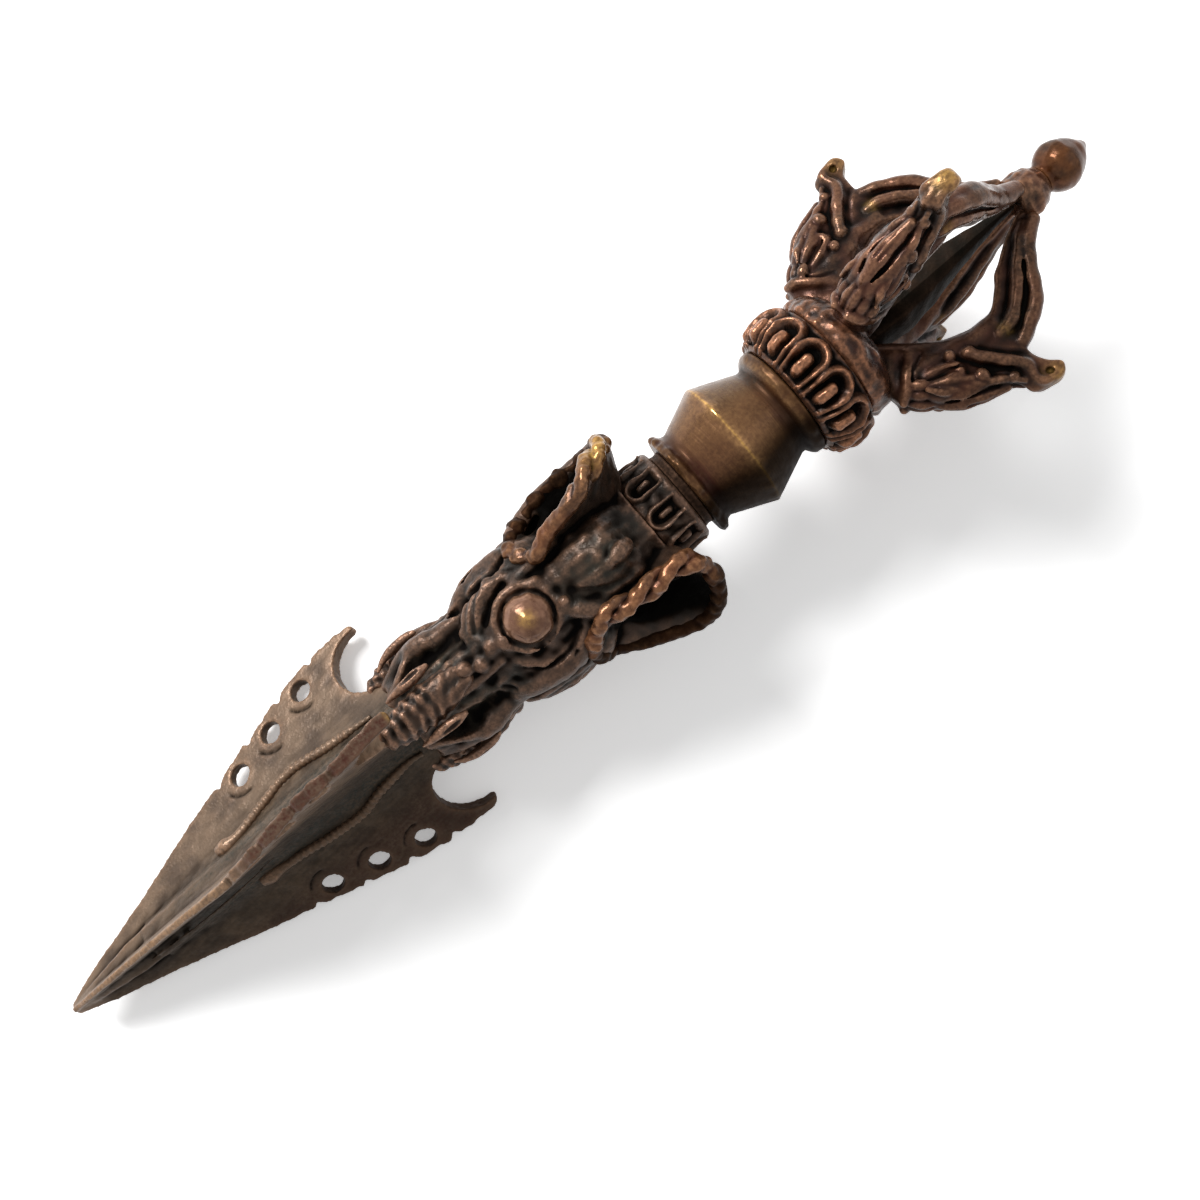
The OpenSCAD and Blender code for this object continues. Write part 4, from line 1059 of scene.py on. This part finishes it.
make("blade_cast", blade_piece(), "blade", blade_skin, 0.45, 0.3, blade_paint)
make("head_cast", head_piece(), "makara_head", dark, 0.6, 0.22, head_paint)
loops = [loop_piece(LOOP_PATH, lambda s: step(s, 0.15, 0.22) * (1 - step(s, 0.36, 0.44))),
         loop_piece(THIRD_LOOP, lambda s: step(s, 0.44, 0.5) * (1 - step(s, 0.74, 0.84)))]
makara = makara_piece()
trunk = trunk_piece()
stud = stud_piece()
for k, roll in enumerate(FACES):
    third = roll == -120
    loop = turned_by(loops[int(third)], roll)
    make(f"loop_{k + 1}", loop, f"twisted_loop_{k + 1}", copper, 0.5, 0.2,
         lambda p: loop_paint(p, roll, third))
    make(f"trunk_{k + 1}_cast", turned_by(trunk, roll), f"trunk_{k + 1}", dark, 0.3, 0.2)
    tip = [(*polar(X_EYE, roll, 12.3), 1.1)]
    make(f"stud_{k + 1}", turned_by(stud, roll), f"eye_stud_{k + 1}", stud_skin, 0.6, 0.4,
         lambda p: {"gilt": 0.8 * near_to(p, tip)})
tusks = together([tusk_piece(roll, s) for roll in FACES for s in (-1, 1)])
make("tusks_cast", tusks, "tusks", dark, 0.25, 0.3)
# The seen serpents from tail to head, as (x, distance from the axis) along the fin.
UPPER = [(29.7, 3.2), (33.1, 3), (38.8, 4.6), (42.5, 5.6), (46.1, 5.5), (50.6, 4.4), (55.7, 3.6),
         (58.3, 3.2)]
LOWER = [(32, 2.6), (38.7, 3.6), (42.7, 4.5), (48.3, 5), (52.4, 3.9), (57.9, 3.2), (60.4, 3.6)]
for k, (roll, side, line) in enumerate(((120, -1, UPPER), (-120, 1, LOWER), (120, 1, UPPER))):
    # Each serpent is darker on its -Y side, away from the key lamp: painted shade.
    make(f"serpent_{k + 1}_cast", serpent_piece(roll, side, line), f"serpent_{k + 1}",
         blade_skin, 0.9, 0.2, lambda p: {"moss": 0.55, "soot_and_shade": 0.35 * (p[:, 1] < 0)})
make("collar_cast", collar_piece(), "lotus_collar", dark, 0.95, 0.16)
# The neck ring, sunk in the gap between collar and grip, is painted near black: painted shade.
make("neck_cast", neck_piece(), "neck_ring", dark, 0.5, 0.5, lambda p: {"soot_and_shade": 0.8})
make("grip_turned", grip_piece(), "grip", brass, 0.3, 0.5, grip_paint)
make("lotus_cast", lotus_piece(), "lotus_cup", lotus_skin, 0.75, 0.1, lotus_paint)
make("dome_cast", dome_piece(), "crown_base", lotus_skin, 0.7, 0.5,
     lambda p: {"rust": 0.6 * step(grain(p, 7, 91), 0, 0.8)})
for k, roll in enumerate(CROWN):
    make(f"makara_{k + 1}", turned_by(makara, roll), f"crown_makara_{k + 1}", crown_skin,
         0.55, 0.22, lambda p: makara_paint(p, roll))
# The prong, between the makaras, is painted dark all over and darker on its -Y side, away from the key lamp:
# painted shade.
make("prong_cast", prong_piece(), "central_prong", dark, 0.6, 0.4,
     lambda p: {"moss": 0.5, "soot_and_shade": 0.55 + 0.3 * (p[:, 1] < 0)})
make("top_cast", top_piece(), "top_collar", crown_skin, 0.4, 0.25)
make("finial_cast", finial_piece(), "finial", orange, 0.8, 0.5)
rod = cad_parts["core_rod"]
rod.data.materials.clear()
rod.data.materials.append(brass)

scene = bpy.context.scene
scene.view_settings.view_transform = "Standard"


def seen(tree):
    """1 for the rays by which the camera, a reflection or glass shows a thing, else 0."""
    path = tree.nodes.new("ShaderNodeLightPath")
    out = path.outputs["Is Camera Ray"]
    for key in ("Is Glossy Ray", "Is Transmission Ray"):
        out = node(tree, "Math", {0: out, 1: path.outputs[key]}, operation="MAXIMUM")
    return out


def share_of(tree, low, high):
    """The value low for light, and high where the thing itself is seen."""
    return node(tree, "MapRange", {"To Min": low, "To Max": high, "Value": seen(tree)}, "Result")


world = bpy.data.worlds.new("studio")
scene.world = world
world.use_nodes = True
wire(world.node_tree, world.node_tree.nodes["Background"],
     {"Color": (1, 1, 1, 1), "Strength": share_of(world.node_tree, 0.24, 1)})

# The floor glows further off, so that its horizon is white. Lengths here are in metres.
FLOOR_HALF = 1.2
GLOW_FROM, GLOW_FULL = 0.2, 0.55
corners = [(x * FLOOR_HALF, y * FLOOR_HALF, 0) for x, y in ((-1, -1), (1, -1), (1, 1), (-1, 1))]
mesh = bpy.data.meshes.new("floor")
mesh.from_pydata(corners, [], [(0, 1, 2, 3)])
floor = bpy.data.objects.new("floor", mesh)
bpy.context.collection.objects.link(floor)
ground = bpy.data.materials.new("pale_floor")
ground.use_nodes = True
tree = ground.node_tree
reach = node(tree, "VectorMath", {0: node(tree, "TexCoord", result="Object")}, "Value", operation="LENGTH")
fade = {"From Min": GLOW_FROM, "From Max": GLOW_FULL, "To Min": 0.3, "Value": reach}
far_off = node(tree, "MapRange", fade, "Result")
shown = node(tree, "Math", {0: far_off, 1: seen(tree)}, operation="MULTIPLY")
matt = node(tree, "BsdfDiffuse", {"Color": share_of(tree, 0.8, 1.5)})
glow = node(tree, "Emission", {"Strength": shown})
wire(tree, tree.nodes["Material Output"], {"Surface": node(tree, "AddShader", {0: matt, 1: glow})})
mesh.materials.append(ground)


def lamp(name, place, size, power):
    data = bpy.data.lights.new(name, "AREA")
    data.size = size
    data.energy = power
    obj = bpy.data.objects.new(name, data)
    obj.location = place
    obj.rotation_euler = (-Vector(place)).to_track_quat("-Z", "Y").to_euler()
    bpy.context.collection.objects.link(obj)


lamp("key", (-0.1, 0.62, 0.48), 0.3, 6.2)
lamp("fill", (0.5, -0.2, 0.6), 0.5, 0.4)
# The camera in the dagger's own frame, in millimetres, found from the spacing of the fins
# and of the makaras. FOCAL and PICTURE are in pixels of the square picture.
TILT = math.radians(2.8)
EYE = Vector((100.1, -4.2, 159))
ACROSS, ALONG = 0.7592, 0.6509
FOCAL, PICTURE, SENSOR = 1178.75, 1200, 36
look = Vector((-math.sin(TILT), 0, -math.cos(TILT)))
level = Vector((math.cos(TILT), 0, -math.sin(TILT)))
right = level * ACROSS - Vector((0, ALONG, 0))
up = level * ALONG + Vector((0, ACROSS, 0))
lie_turn = LIE_TURN.to_3x3()
aim = Matrix([lie_turn @ right, lie_turn @ up, lie_turn @ -look]).transposed()
data = bpy.data.cameras.new("camera")
data.sensor_width = SENSOR
data.lens = SENSOR * FOCAL / PICTURE
data.clip_start = 0.01
camera = bpy.data.objects.new("camera", data)
camera.matrix_world = Matrix.Translation(LIE @ EYE) @ aim.to_4x4()
bpy.context.collection.objects.link(camera)
scene.camera = camera
